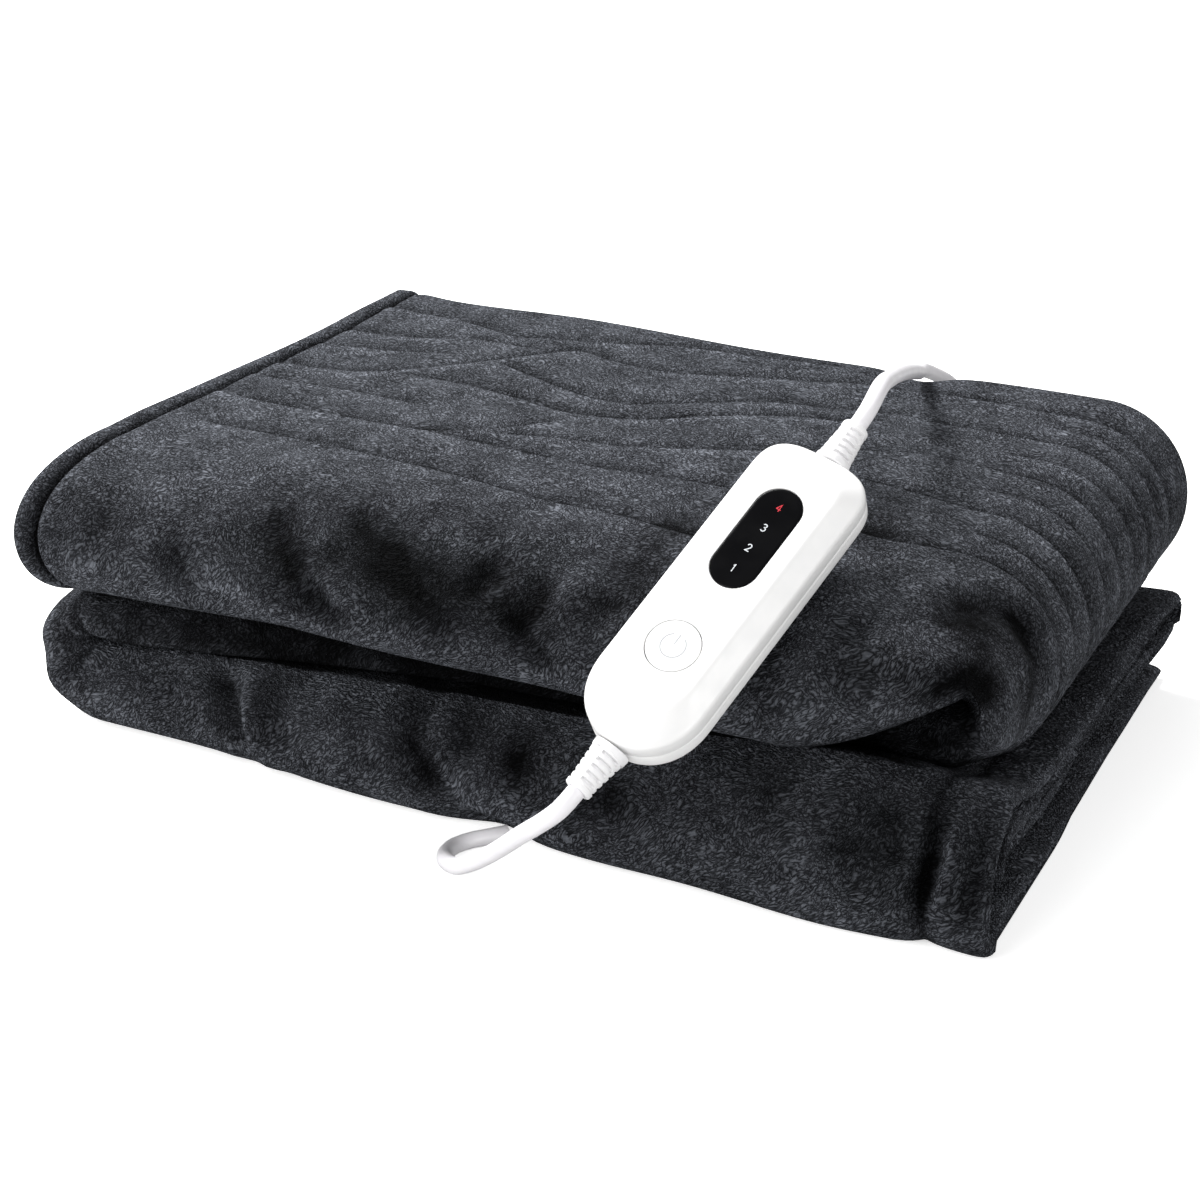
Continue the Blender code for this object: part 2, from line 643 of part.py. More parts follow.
def controller_frame():
    """The controller's own axes in the world: X across, Y along to the upper end, Z out of the face."""
    along = Vector((math.cos(RISE) * math.sin(HEADING), math.cos(RISE) * math.cos(HEADING), math.sin(RISE)))
    level = Vector((math.cos(HEADING), -math.sin(HEADING), 0.0))
    upright = level.cross(along)
    out = upright * math.cos(ROLL) + level * math.sin(ROLL)
    across = along.cross(out)
    frame = Matrix((across, along, out)).transposed().to_4x4()
    frame.translation = FACE_CENTRE
    return frame


def press_under_controller(point, into_controller):
    """Keep the cloth just behind the controller's back, where it lies on the nose."""
    back = -(BASE_HEIGHT + COVER_WALL + COVER_RISE) - 0.5 * MM
    local = into_controller @ point
    beside = max(abs(local.x) - 48 * MM, abs(local.y) - 88 * MM, 0.0)
    proud = local.z - back - beside * 0.6
    if proud <= 0.0 or local.z > back + 30 * MM:
        return point
    local.z -= proud
    return into_controller.inverted() @ local


def make_blanket(finish, home):
    """The folded cloth as one closed solid."""
    into_controller = controller_frame().inverted()
    rings = []
    for station in path_stations():
        past_wrap = max(0.0, station.along - 1.7)
        fade = min(smooth((station.along - 0.03) / 0.07), max(0.15, 1.0 - past_wrap * 2.0))
        wander = [0.010 * ripple(station.along * 0.5, 0.05 * k, 0.7 * k) for k in range(2 * CHANNELS + 1)]
        channel = {"depth": CHANNEL_DEPTH * fade, "crown": CHANNEL_CROWN * fade, "wander": wander}
        loop = section_loop(station.section, station.drawn_out, station.drawn_in, channel)
        ring = []
        for y, level, layer in loop:
            point = blanket_point(station, y, level, layer)
            if station.along < 1.0 and layer in ("nose", "outer_high"):
                point = press_under_controller(point, into_controller)
            ring.append(point)
        rings.append(ring)
    return add_object("blanket", loft("blanket", rings), finish, home)


# ================================================================ the controller
def outline(draw_sides, draw_lower, draw_upper, height):
    """The controller's outline at one height, drawn in at its sides and ends.

    The lower end is a half round, and the upper end is squarer.
    """
    half_width = CONTROLLER_WIDTH / 2 - draw_sides
    top = CONTROLLER_LENGTH / 2 - draw_upper
    bottom = -CONTROLLER_LENGTH / 2 + draw_lower
    lower_depth = half_width * 1.12
    upper_depth = half_width * 0.80
    points = []
    for k in range(OUTLINE_SIDES * 2 + 1):
        angle = math.pi * k / (OUTLINE_SIDES * 2)
        cosine, sine = math.cos(angle), math.sin(angle)
        power = 0.62
        x = half_width * math.copysign(abs(cosine) ** power, cosine)
        points.append(Vector((x, top - upper_depth + upper_depth * sine ** power, height)))
    for k in range(OUTLINE_SIDES * 2 + 1):
        angle = math.pi + math.pi * k / (OUTLINE_SIDES * 2)
        cosine, sine = math.cos(angle), math.sin(angle)
        power = 0.92
        x = half_width * math.copysign(abs(cosine) ** power, cosine)
        points.append(Vector((x, bottom + lower_depth - lower_depth * abs(sine) ** power, height)))
    return points


def make_controller(finishes, home, cutters):
    """Both shells, the window and the button, with pockets cut in the cover."""
    frame = controller_frame()
    top = 0.0
    wall_top = top - COVER_RISE
    seam = wall_top - COVER_WALL
    floor = seam - BASE_HEIGHT
    base_rings = [outline(BASE_ROUND, BASE_ROUND, BASE_ROUND, floor)]
    for k in (1, 2, 3):
        angle = math.pi / 2 * k / 3
        draw = BASE_ROUND * (1.0 - math.sin(angle))
        base_rings.append(outline(draw, draw, draw, floor + BASE_ROUND * (1.0 - math.cos(angle))))
    base_rings.append(outline(0.0, 0.0, 0.0, seam - 0.9 * MM))
    base_rings.append(outline(0.5 * MM, 0.5 * MM, 0.5 * MM, seam - GAP / 2))
    add_object("controller_base", loft("controller_base", base_rings), finishes["shell"], home, frame)

    cover_rings = [
        outline(0.5 * MM, 0.5 * MM, 0.5 * MM, seam + GAP / 2),
        outline(0.0, 0.0, 0.0, seam + 0.7 * MM),
        outline(0.0, 0.0, 0.0, wall_top - 1.2 * MM),
        outline(0.5 * MM, 0.6 * MM, 0.5 * MM, wall_top - 0.2 * MM),
        outline(1.6 * MM, 2.2 * MM, 1.6 * MM, wall_top + 0.7 * MM),
        outline(7.0 * MM, 14.5 * MM, 9.5 * MM, top - 0.5 * MM),
        outline(8.0 * MM, 16.0 * MM, 10.8 * MM, top),
    ]
    cover_mesh = loft("controller_cover", cover_rings)
    cover = add_object("controller_cover", cover_mesh, finishes["shell"], home, frame)

    def pill(name, length, width, depth, finish, target_home, place, sink):
        """A flat piece with round ends, let into the face."""
        bm = bmesh.new()
        ring = []
        for end in (1, -1):
            for k in range(13):
                angle = (0.0 if end > 0 else math.pi) + math.pi * k / 12
                ring.append(bm.verts.new((width / 2 * math.cos(angle),
                                          end * (length - width) / 2 + width / 2 * math.sin(angle), -sink)))
        face = bm.faces.new(ring)
        made = bmesh.ops.extrude_face_region(bm, geom=[face])
        low = [item for item in made["geom"] if isinstance(item, bmesh.types.BMVert)]
        bmesh.ops.translate(bm, verts=low, vec=(0.0, 0.0, -depth))
        return add_object(name, mesh_from(bm, name), finish, target_home,
                          frame @ Matrix.Translation((0.0, place, 0.0)))

    def disc(name, radius, depth, finish, target_home, place, sink):
        """A round piece, let into the face."""
        bm = bmesh.new()
        bmesh.ops.create_cone(bm, cap_ends=True, segments=40, radius1=radius, radius2=radius, depth=depth,
                              matrix=Matrix.Translation((0.0, 0.0, -sink - depth / 2)))
        return add_object(name, mesh_from(bm, name), finish, target_home,
                          frame @ Matrix.Translation((0.0, place, 0.0)))

    pill("display_window", WINDOW_LENGTH, WINDOW_WIDTH, WINDOW_THICK, finishes["window"], home,
         WINDOW_PLACE, WINDOW_SINK)
    disc("power_button", BUTTON_RADIUS, BUTTON_THICK, finishes["button"], home, BUTTON_PLACE, 0.0)
    over = 2.0 * MM
    window_depth = WINDOW_SINK + WINDOW_THICK + GAP
    window_pocket = pill("window_pocket", WINDOW_LENGTH + 2 * GAP, WINDOW_WIDTH + 2 * GAP,
                         window_depth + over, finishes["shell"], cutters, WINDOW_PLACE, -over)
    button_depth = BUTTON_THICK + BUTTON_TRAVEL + BUTTON_ROOM
    button_pocket = disc("button_pocket", BUTTON_RADIUS + BUTTON_CLEAR, button_depth + over,
                         finishes["shell"], cutters, BUTTON_PLACE, -over)
    cut(cover, window_pocket)
    cut(cover, button_pocket)
    return frame


def relief_profile(length, root, end, ribs):
    """Outline of a ribbed taper from its tip down to its root, as radius and height."""
    profile = [(0.0, length), (end - RIB_HEIGHT, length)]
    pitch = length * 0.9 / ribs
    for k in range(ribs):
        top = length - k * pitch
        radius = mix(end, root, k / ribs)
        profile += [(radius, top - 0.15 * pitch), (radius, top - 0.55 * pitch),
                    (radius - RIB_HEIGHT, top - 0.65 * pitch)]
    return profile + [(root, length * 0.09), (root, 0.0), (0.0, 0.0)]


def aim(origin, direction):
    """A matrix that stands Z along a direction at a place."""
    matrix = direction.to_track_quat("Z", "Y").to_matrix().to_4x4()
    matrix.translation = origin
    return matrix


def make_reliefs(frame, finish, home):
    """The ribbed sleeves at both ends of the controller; returns where the cords leave them."""
    middle = -COVER_RISE - COVER_WALL
    leaves = {}
    for name, end, turn in (("strain_relief_upper", 1.0, RELIEF_TURN_UPPER),
                            ("strain_relief_lower", -1.0, RELIEF_TURN_LOWER)):
        out = CONTROLLER_LENGTH / 2 + GAP + RELIEF_ROOT * abs(math.sin(turn))
        root = frame @ Vector((0.0, end * out, middle))
        direction = (frame.to_3x3() @ Vector((-end * math.sin(turn), end * math.cos(turn), 0.0))).normalized()
        turned(name, relief_profile(RELIEF_LENGTH, RELIEF_ROOT, RELIEF_END, RELIEF_RIBS), 12, finish, home,
               aim(root, direction))
        leaves[name] = (root + direction * (RELIEF_LENGTH + GAP), direction)
    return leaves


# ================================================================ the cords
def from_table(rows):
    """Route points given in millimetres."""
    return [Vector(row) * MM for row in rows]


def make_coil(finishes, home):
    """The spare cord as a wound ring, held by a tie."""
    bm = bmesh.new()
    profile = []
    for k in range(10):
        angle = 2 * math.pi * (k + 0.5) / 10
        x = COIL_HALF_WIDTH * math.copysign(abs(math.cos(angle)) ** 0.6, math.cos(angle))
        z = COIL_HALF_HEIGHT * math.copysign(abs(math.sin(angle)) ** 0.6, math.sin(angle))
        profile.append((COIL_RADIUS + x, z))
    verts = [bm.verts.new((x, 0.0, z)) for x, z in profile]
    for a, b in zip(verts, verts[1:] + verts[:1]):
        bm.edges.new((a, b))
    bmesh.ops.spin(bm, geom=bm.verts[:] + bm.edges[:], cent=(0, 0, 0), axis=(0, 0, 1), angle=2 * math.pi,
                   steps=28, use_merge=True, use_duplicate=False)
    bmesh.ops.remove_doubles(bm, verts=bm.verts, dist=0.00001)
    turn = Matrix.Rotation(TIE_ANGLE, 4, "Z") @ Matrix.Rotation(-COIL_TILT, 4, "Y")
    lie = Matrix.Translation(COIL_CENTRE) @ turn
    add_object("cord_coil", mesh_from(bm, "cord_coil"), finishes["cord"], home, lie)

    tie = bmesh.new()
    rows = []
    inside = 0.5 * MM
    for side in (-1.0, 1.0):
        for grow in (inside, inside + TIE_THICK):
            ring = []
            for k in range(16):
                angle = 2 * math.pi * (k + 0.5) / 16
                x = (COIL_HALF_WIDTH + grow) * math.copysign(abs(math.cos(angle)) ** 0.5, math.cos(angle))
                z = (COIL_HALF_HEIGHT + grow) * math.copysign(abs(math.sin(angle)) ** 0.5, math.sin(angle))
                ring.append(tie.verts.new((COIL_RADIUS + x, side * TIE_WIDTH / 2, z)))
            rows.append(ring)
    order = (rows[0], rows[1], rows[3], rows[2])
    for low, high in zip(order, order[1:] + order[:1]):
        for i in range(16):
            j = (i + 1) % 16
            tie.faces.new((low[i], low[j], high[j], high[i]))
    add_object("coil_tie", mesh_from(tie, "coil_tie"), finishes["tie"], home, lie)


def coil_touch(angle, rise, turns):
    """Where a cord meets the coil's outer side, and the direction there into the coil.

    That direction turns against the clock for turns of 1, and with it for -1.
    """
    radial = Vector((math.cos(angle), math.sin(angle), 0.0))
    along = Vector((-math.sin(angle), math.cos(angle), 0.0))
    reach = COIL_RADIUS + COIL_HALF_WIDTH + GAP + CORD / 2 * math.sin(COIL_SLANT)
    direction = -radial * math.cos(COIL_SLANT) + along * math.sin(COIL_SLANT) * turns
    return COIL_CENTRE + radial * reach + Vector((0.0, 0.0, rise)), direction


def make_plug(leave, direction, finishes, home):
    """The plug on the mains cord: a sleeve, a body and two blades."""
    profile = relief_profile(PLUG_RELIEF, RELIEF_ROOT, RELIEF_END, RELIEF_RIBS)
    turned("plug_relief", profile, 16, finishes["cord"], home,
           aim(leave + direction * (PLUG_RELIEF + GAP), -direction))
    start = leave + direction * (PLUG_RELIEF + 2 * GAP)
    across, along, high = PLUG_BODY
    forward = direction.normalized()
    right = forward.cross(Vector((0.0, 0.0, 1.0))).normalized()
    frame = Matrix((right, forward, right.cross(forward))).transposed().to_4x4()
    frame.translation = start
    rings = []
    for share, scale in ((0.0, 0.70), (0.06, 0.80), (0.35, 0.94), (0.7, 1.0), (0.95, 1.0), (1.0, 0.93)):
        ring = []
        for k in range(24):
            angle = 2 * math.pi * k / 24
            x = across / 2 * scale * math.copysign(abs(math.cos(angle)) ** 0.55, math.cos(angle))
            z = high / 2 * scale * math.copysign(abs(math.sin(angle)) ** 0.55, math.sin(angle))
            ring.append(Vector((x, along * share, z)))
        rings.append(ring)
    add_object("plug_body", loft("plug_body", rings), finishes["cord"], home, frame)
    for name, side in (("plug_blade_left", -1.0), ("plug_blade_right", 1.0)):
        bm = bmesh.new()
        bmesh.ops.create_cube(bm, size=1.0)
        bmesh.ops.scale(bm, verts=bm.verts, vec=BLADE)
        place = (side * BLADE_SPACING / 2, along + BLADE[1] / 2 + GAP, 0.0)
        bmesh.ops.translate(bm, verts=bm.verts, vec=place)
        add_object(name, mesh_from(bm, name), finishes["blade"], home, frame)


def make_cords(leaves, finishes, home):
    """Both cords, the coil, its tie and the plug."""
    leave, direction = leaves["strain_relief_upper"]
    touch, inward = coil_touch(ARRIVE_ANGLE, ARRIVE_RISE, -1.0)
    route = [leave + direction * STRAIGHT, *from_table(MAINS_ROUTE_MM), touch - inward * STRAIGHT]
    tube("cord_mains", [leave, *curve_through(route, CORD_STEP), touch], CORD, finishes["cord"], home)
    leave, direction = leaves["strain_relief_lower"]
    route = [leave + direction * STRAIGHT, *from_table(TO_BLANKET_ROUTE_MM)]
    tube("cord_to_blanket", [leave, *curve_through(route, CORD_STEP)], CORD, finishes["cord"], home)
    make_coil(finishes, home)
    touch, inward = coil_touch(LEAD_ANGLE, LEAD_RISE, 1.0)
    route = [touch, *curve_through([touch - inward * STRAIGHT, *from_table(LEAD_ROUTE_MM)], CORD_STEP)]
    tube("cord_lead", route, CORD, finishes["cord"], home)
    run = route[-1] - route[-2]
    make_plug(route[-1], Vector((run.x, run.y, 0.0)).normalized(), finishes, home)


def main():
    """Clear the file and build every piece."""
    for old in list(bpy.data.objects):
        bpy.data.objects.remove(old, do_unlink=True)
    home = bpy.data.collections.new("electric_heated_blanket")
    cutters = bpy.data.collections.new("cutters")
    for group in (home, cutters):
        bpy.context.scene.collection.children.link(group)
    finishes = {
        "plush": material("charcoal_plush", (0.045, 0.048, 0.054), 0.95),
        "shell": material("white_shell", (0.86, 0.86, 0.86), 0.32),
        "button": material("white_button", (0.84, 0.84, 0.84), 0.36),
        "window": material("black_window", (0.01, 0.01, 0.01), 0.12),
        "cord": material("white_cord", (0.80, 0.80, 0.83), 0.42),
        "tie": material("black_tie", (0.02, 0.02, 0.02), 0.8),
        "blade": material("plated_blade", (0.72, 0.72, 0.72), 0.25, 1.0),
    }
    make_blanket(finishes["plush"], home)
    frame = make_controller(finishes, home, cutters)
    leaves = make_reliefs(frame, finishes["cord"], home)
    make_cords(leaves, finishes, home)


main()
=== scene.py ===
"""Looks of the electric heated blanket: the folded plush, the hand controller, the cords and the plug.

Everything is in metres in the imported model's frame: the origin is the middle of the folded stack's
base, +X runs along the front, +Y to the back and +Z up. Names that end in _mm hold millimetres.
"""

from __future__ import annotations

import logging
from dataclasses import dataclass, field
from enum import Enum
from math import copysign, cos, exp, hypot, pi, radians, remainder, sin, sqrt
from typing import Callable, NamedTuple, Sequence

import bmesh
import bpy
import numpy as np
from bpy.types import Curve, ID, Material, Mesh, Node, NodeSocket, NodeTree, Object
from mathutils import Matrix, Vector

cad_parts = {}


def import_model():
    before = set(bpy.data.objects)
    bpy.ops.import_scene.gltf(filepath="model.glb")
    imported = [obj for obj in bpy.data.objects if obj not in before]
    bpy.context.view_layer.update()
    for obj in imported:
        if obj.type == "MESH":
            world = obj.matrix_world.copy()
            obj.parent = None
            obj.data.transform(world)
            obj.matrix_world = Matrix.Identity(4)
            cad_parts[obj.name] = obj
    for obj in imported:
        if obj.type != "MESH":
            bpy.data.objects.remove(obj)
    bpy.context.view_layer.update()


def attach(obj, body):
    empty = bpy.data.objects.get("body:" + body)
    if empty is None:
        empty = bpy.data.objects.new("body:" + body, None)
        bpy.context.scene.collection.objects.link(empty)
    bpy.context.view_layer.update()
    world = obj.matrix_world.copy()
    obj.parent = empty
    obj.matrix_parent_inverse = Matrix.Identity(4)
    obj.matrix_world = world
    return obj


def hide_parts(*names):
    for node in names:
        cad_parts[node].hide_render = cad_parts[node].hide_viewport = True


log = logging.getLogger("heated_blanket")

MM = 0.001
GAP = 0.3 * MM  # between two pieces that touch
PHOTO_SIZE = 1200  # the image is taken to be this many pixels each way
PAINTED_SHADE = "painted_shade"  # the cloth's attribute of painted shade: high in creases, stitched lines and gaps, under 0 a painted highlight

Colour = tuple[float, float, float]
Pairs = Sequence[tuple[float, float]]


class Slot(Enum):
    """The record's material slots."""

    PLUSH = "plush"
    SHELL = "shell"
    WINDOW = "window"
    BUTTON = "button"
    SLEEVE = "sleeve"
    CORD = "cord"
    TIE = "tie"
    PLUG = "plug"
    BLADE = "blade"


class Body(Enum):
    """The bodies that pieces ride on."""

    ROOT = "root"
    BUTTON = "button"


# ======== helpers
def mix(a: float, b: float, share: float) -> float:
    """The value that lies a share of the way from a to b."""
    return a + (b - a) * share


def smooth(share: float) -> float:
    """Ease a share between 0 and 1, flat at both ends."""
    share = min(1.0, max(0.0, share))
    return share * share * (3.0 - 2.0 * share)


def ease(share: np.ndarray) -> np.ndarray:
    """Ease an array of shares between 0 and 1."""
    share = np.clip(share, 0.0, 1.0)
    return share * share * (3.0 - 2.0 * share)


def ripple(x: float, y: float, seed: float = 0.0) -> float:
    """A soft, uneven swell between -1 and 1, for places in metres."""
    return (0.45 * sin(31.0 * x + 17.0 * y + 1.3 + seed)
            + 0.33 * sin(-23.0 * x + 41.0 * y + 0.4 + 2.0 * seed)
            + 0.22 * sin(67.0 * x + 29.0 * y + 2.1 + seed))


def between(rows: Sequence, x: float):
    """A smooth reading of a table with an x column.

    Args:
        rows: named tuples that start with x.
        x: where to read.

    Returns:
        A row of the same kind, on a cubic through the table's rows.
    """
    rows = sorted(rows, key=lambda row: row[0])
    x = min(max(x, rows[0][0]), rows[-1][0])
    last = len(rows) - 1
    at = next(k for k in range(last) if x <= rows[k + 1][0])
    low, high = rows[at], rows[at + 1]
    before, after = rows[max(at - 1, 0)], rows[min(at + 2, last)]
    run = high[0] - low[0]
    t = (x - low[0]) / run
    weights = (2 * t**3 - 3 * t**2 + 1, t**3 - 2 * t**2 + t, -2 * t**3 + 3 * t**2, t**3 - t**2)
    values = []
    for p, a, b, q in zip(before, low, high, after):
        rise_low = (b - p) / (high[0] - before[0]) * run
        rise_high = (q - a) / (after[0] - low[0]) * run
        values.append(weights[0] * a + weights[1] * rise_low + weights[2] * b + weights[3] * rise_high)
    return type(low)(*values)


def curve_through(points: Sequence[Vector], step: float) -> list[Vector]:
    """Points a step apart on a smooth curve through given ones.

    Args:
        points: the given points.
        step: distance between the points that come back.

    Returns:
        The evenly spaced points, from the first given point to the last.
    """
    padded = [points[0] * 2 - points[1], *points, points[-1] * 2 - points[-2]]
    dense = []
    for p0, p1, p2, p3 in zip(padded, padded[1:], padded[2:], padded[3:]):
        knots = [0.0]
        for a, b in ((p0, p1), (p1, p2), (p2, p3)):
            knots.append(knots[-1] + sqrt((b - a).length))
        t0, t1, t2, t3 = knots
        for k in range(24):
            t = mix(t1, t2, k / 24)
            a1 = p0.lerp(p1, (t - t0) / (t1 - t0))
            a2 = p1.lerp(p2, (t - t1) / (t2 - t1))
            a3 = p2.lerp(p3, (t - t2) / (t3 - t2))
            b1 = a1.lerp(a2, (t - t0) / (t2 - t0))
            b2 = a2.lerp(a3, (t - t1) / (t3 - t1))
            dense.append(b1.lerp(b2, (t - t1) / (t2 - t1)))
    dense.append(points[-1].copy())
    return evenly(dense, step)


def evenly(dense: Sequence[Vector], step: float) -> list[Vector]:
    """The same line with its points a step apart."""
    reach = np.concatenate([[0.0], np.cumsum([(b - a).length for a, b in zip(dense, dense[1:])])])
    goals = np.linspace(0.0, reach[-1], max(2, round(reach[-1] / step)) + 1)
    table = np.array([tuple(point) for point in dense])
    columns = [np.interp(goals, reach, table[:, axis]) for axis in range(3)]
    return [Vector(row) for row in zip(*columns)]


def line_length(points: Sequence[Vector]) -> float:
    """Length of a line of points."""
    return sum((b - a).length for a, b in zip(points, points[1:]))


def from_table(rows: Sequence[tuple[float, float, float]]) -> list[Vector]:
    """Route points given in millimetres."""
    return [Vector(row) * MM for row in rows]


def axes(x: Vector, y: Vector, z: Vector, origin: Vector) -> Matrix:
    """A matrix with its axes along three directions at a place."""
    matrix = Matrix((x, y, z)).transposed().to_4x4()
    matrix.translation = origin
    return matrix


def aim(origin: Vector, direction: Vector) -> Matrix:
    """A matrix that stands Z along a direction at a place."""
    matrix = direction.to_track_quat("Z", "Y").to_matrix().to_4x4()
    matrix.translation = origin
    return matrix


# ======== pieces
def linked(data: ID) -> Object:
    """A new object in the scene, with its data's name."""
    made = bpy.data.objects.new(data.name, data)
    bpy.context.scene.collection.objects.link(made)
    return made


class Workshop:
    """Links pieces, dresses them, puts them on their bodies and hides the imported nodes that they stand for.
    """

    def __init__(self, finishes: Finishes) -> None:
        """Keep the materials and make the collection for the pieces."""
        self.finishes = finishes
        self.home = bpy.data.collections.new("dressed_blanket")
        bpy.context.scene.collection.children.link(self.home)

    def add(self, data: ID, finish: str, slot: Slot, *replaces: str, body: Body = Body.ROOT) -> Object:
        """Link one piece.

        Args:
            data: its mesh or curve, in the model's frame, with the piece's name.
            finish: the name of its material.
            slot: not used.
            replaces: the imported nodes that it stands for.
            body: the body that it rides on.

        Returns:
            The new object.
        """
        made = bpy.data.objects.new(data.name, data)
        self.home.objects.link(made)
        data.materials.clear()
        data.materials.append(self.finishes[finish])
        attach(made, body.value)
        if replaces:
            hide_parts(*replaces)
        log.info("%s rides on %s", made.name, body.value)
        return made


def finish_mesh(bm: bmesh.types.BMesh, name: str, matrix: Matrix = Matrix.Identity(4),
                sharp: float = 32.0) -> Mesh:
    """Turn a bmesh into a smooth mesh in the model's frame.

    Args:
        bm: the bmesh, which is freed.
        name: name of the mesh.
        matrix: where the piece lies.
        sharp: degrees past which an edge stays sharp.

    Returns:
        The mesh.
    """
    bmesh.ops.transform(bm, matrix=matrix, verts=bm.verts)
    bmesh.ops.recalc_face_normals(bm, faces=bm.faces)
    mesh = bpy.data.meshes.new(name)
    bm.to_mesh(mesh)
    bm.free()
    mesh.shade_smooth()
    mesh.set_sharp_from_angle(angle=radians(sharp))
    return mesh


def skin(bm: bmesh.types.BMesh, rings: Sequence[Sequence[Vector]], closed: bool = False) -> None:
    """Join rings of points with faces.

    Args:
        bm: the bmesh that they are added to.
        rings: rings with the same number of points.
        closed: True where the last ring runs on into the first one; otherwise both ends are capped.
    """
    rows = [[bm.verts.new(point) for point in ring] for ring in rings]
    count = len(rows[0])
    for low, high in zip(rows, rows[1:] + rows[:1] if closed else rows[1:]):
        for i in range(count):
            j = (i + 1) % count
            bm.faces.new((low[i], low[j], high[j], high[i]))
    if not closed:
        bm.faces.new(list(reversed(rows[0])))
        bm.faces.new(rows[-1])


def loft(name: str, rings: Sequence[Sequence[Vector]], matrix: Matrix = Matrix.Identity(4),
         closed: bool = False, sharp: float = 32.0) -> Mesh:
    """A closed skin through rings of points.

    Args:
        name: name of the mesh.
        rings: rings with the same number of points.
        matrix: where the piece lies.
        closed: True where the last ring runs on into the first one.
        sharp: degrees past which an edge stays sharp.

    Returns:
        The mesh.
    """
    bm = bmesh.new()
    skin(bm, rings, closed)
    return finish_mesh(bm, name, matrix, sharp)


def rounded_box(count: int, power: float, first: float = 0.0) -> list[tuple[float, float]]:
    """Points round a box that reaches 1 each way; power 1 makes a circle, a lower one sharper corners."""
    angles = [2 * pi * (k + first) / count for k in range(count)]
    return [tuple(copysign(abs(part) ** power, part) for part in (cos(angle), sin(angle)))
            for angle in angles]


def ribbon(bm: bmesh.types.BMesh, line: Sequence[Vector], width: float, high: float) -> None:
    """Add a flat raised stroke along a line that lies level.

    Args:
        bm: the bmesh that it is added to.
        line: the middle of the stroke's underside.
        width: of the stroke.
        high: of the stroke.
    """
    rings = []
    for at, point in enumerate(line):
        before, after = line[max(at - 1, 0)], line[min(at + 1, len(line) - 1)]
        runs = [run.normalized() for run in (point - before, after - point) if run.length > 0.0]
        ahead = sum(runs, Vector()).normalized()
        side = Vector((-ahead.y, ahead.x, 0.0)) * (width / 2 / max(ahead.dot(runs[0]), 0.5))
        lift = Vector((0.0, 0.0, high))
        rings.append((point - side, point + side, point + side + lift, point - side + lift))
    skin(bm, rings)


def tube_curve(name: str, points: Sequence[Vector], width: float, sides: int) -> Curve:
    """A cord's curve: one open spline with a round section and filled ends.

    Args:
        name: name of the curve.
        points: the centreline.
        width: diameter of the cord.
        sides: bevel resolution.

    Returns:
        The curve.
    """
    curve = bpy.data.curves.new(name, "CURVE")
    curve.dimensions = "3D"
    curve.bevel_depth = width / 2
    curve.bevel_resolution = sides
    curve.use_fill_caps = True
    spline = curve.splines.new("POLY")
    spline.points.add(len(points) - 1)
    for place, point in zip(spline.points, points):
        place.co = (*point, 1.0)
    spline.use_smooth = True
    return curve


# ======== node trees
class Graph:
    """Adds and wires the nodes of one tree."""

    def __init__(self, tree: NodeTree) -> None:
        """Keep the tree."""
        self.tree = tree

    def add(self, kind: str, inputs: dict | None = None, **settings) -> Node:
        """Add a node.

        Args:
            kind: the node's type name, without ShaderNode.
            inputs: socket values by name or index; a socket is linked, anything else is set.
            settings: properties of the node.

        Returns:
            The node.
        """
        prefix = "" if kind.startswith("NodeGroup") else "ShaderNode"
        node = self.tree.nodes.new(prefix + kind)
        for name, value in settings.items():
            setattr(node, name, value)
        self.feed(node, inputs or {})
        return node

    def feed(self, node: Node, inputs: dict) -> None:
        """Link the inputs of a node that are given as sockets, and set the others."""
        for name, value in inputs.items():
            if isinstance(value, NodeSocket):
                self.tree.links.new(value, node.inputs[name])
            else:
                node.inputs[name].default_value = value

    def math(self, operation: str, a, b=0.0) -> NodeSocket:
        """One Math node's result."""
        return self.add("Math", {0: a, 1: b}, operation=operation).outputs[0]

    def vector(self, operation: str, a, b=(0.0, 0.0, 0.0)) -> NodeSocket:
        """One Vector Math node's result."""
        return self.add("VectorMath", {0: a, 1: b}, operation=operation).outputs[0]

    def noise(self, place, scale: float | NodeSocket, detail: float = 2.0, rough: float = 0.5,
              output: str = "Fac") -> NodeSocket:
        """A noise texture's value, or its colour."""
        inputs = {"Vector": place, "Scale": scale, "Detail": detail, "Roughness": rough}
        return self.add("TexNoise", inputs).outputs[output]

    def spread(self, value, low: float, high: float, to_low: float = 0.0,
               to_high: float = 1.0) -> NodeSocket:
        """A value spread smoothly from one range to another."""
        inputs = {"Value": value, "From Min": low, "From Max": high, "To Min": to_low, "To Max": to_high}
        return self.add("MapRange", inputs, interpolation_type="SMOOTHSTEP").outputs["Result"]

    def partings(self, place, thin: float, wide: float) -> tuple[NodeSocket, ...]:
        """Curved partings between clumps, 0 on them and 1 away from them: once thin, once wide."""
        off = self.math("ABSOLUTE", self.math("SUBTRACT", self.noise(place, 1.0, 1.0), 0.5))
        return self.spread(off, 0.0, thin), self.spread(off, 0.0, wide)

    def blend(self, share, a, b) -> NodeSocket:
        """Two colours mixed by a share."""
        first, second = ((*colour, 1.0) if isinstance(colour, tuple) else colour for colour in (a, b))
        return self.add("Mix", {0: share, 6: first, 7: second}, data_type="RGBA").outputs[2]

    def bump(self, height, strength: float, depth: float) -> NodeSocket:
        """The normal of a surface with a height on it."""
        return self.add("Bump", {"Height": height, "Strength": strength, "Distance": depth}).outputs[0]


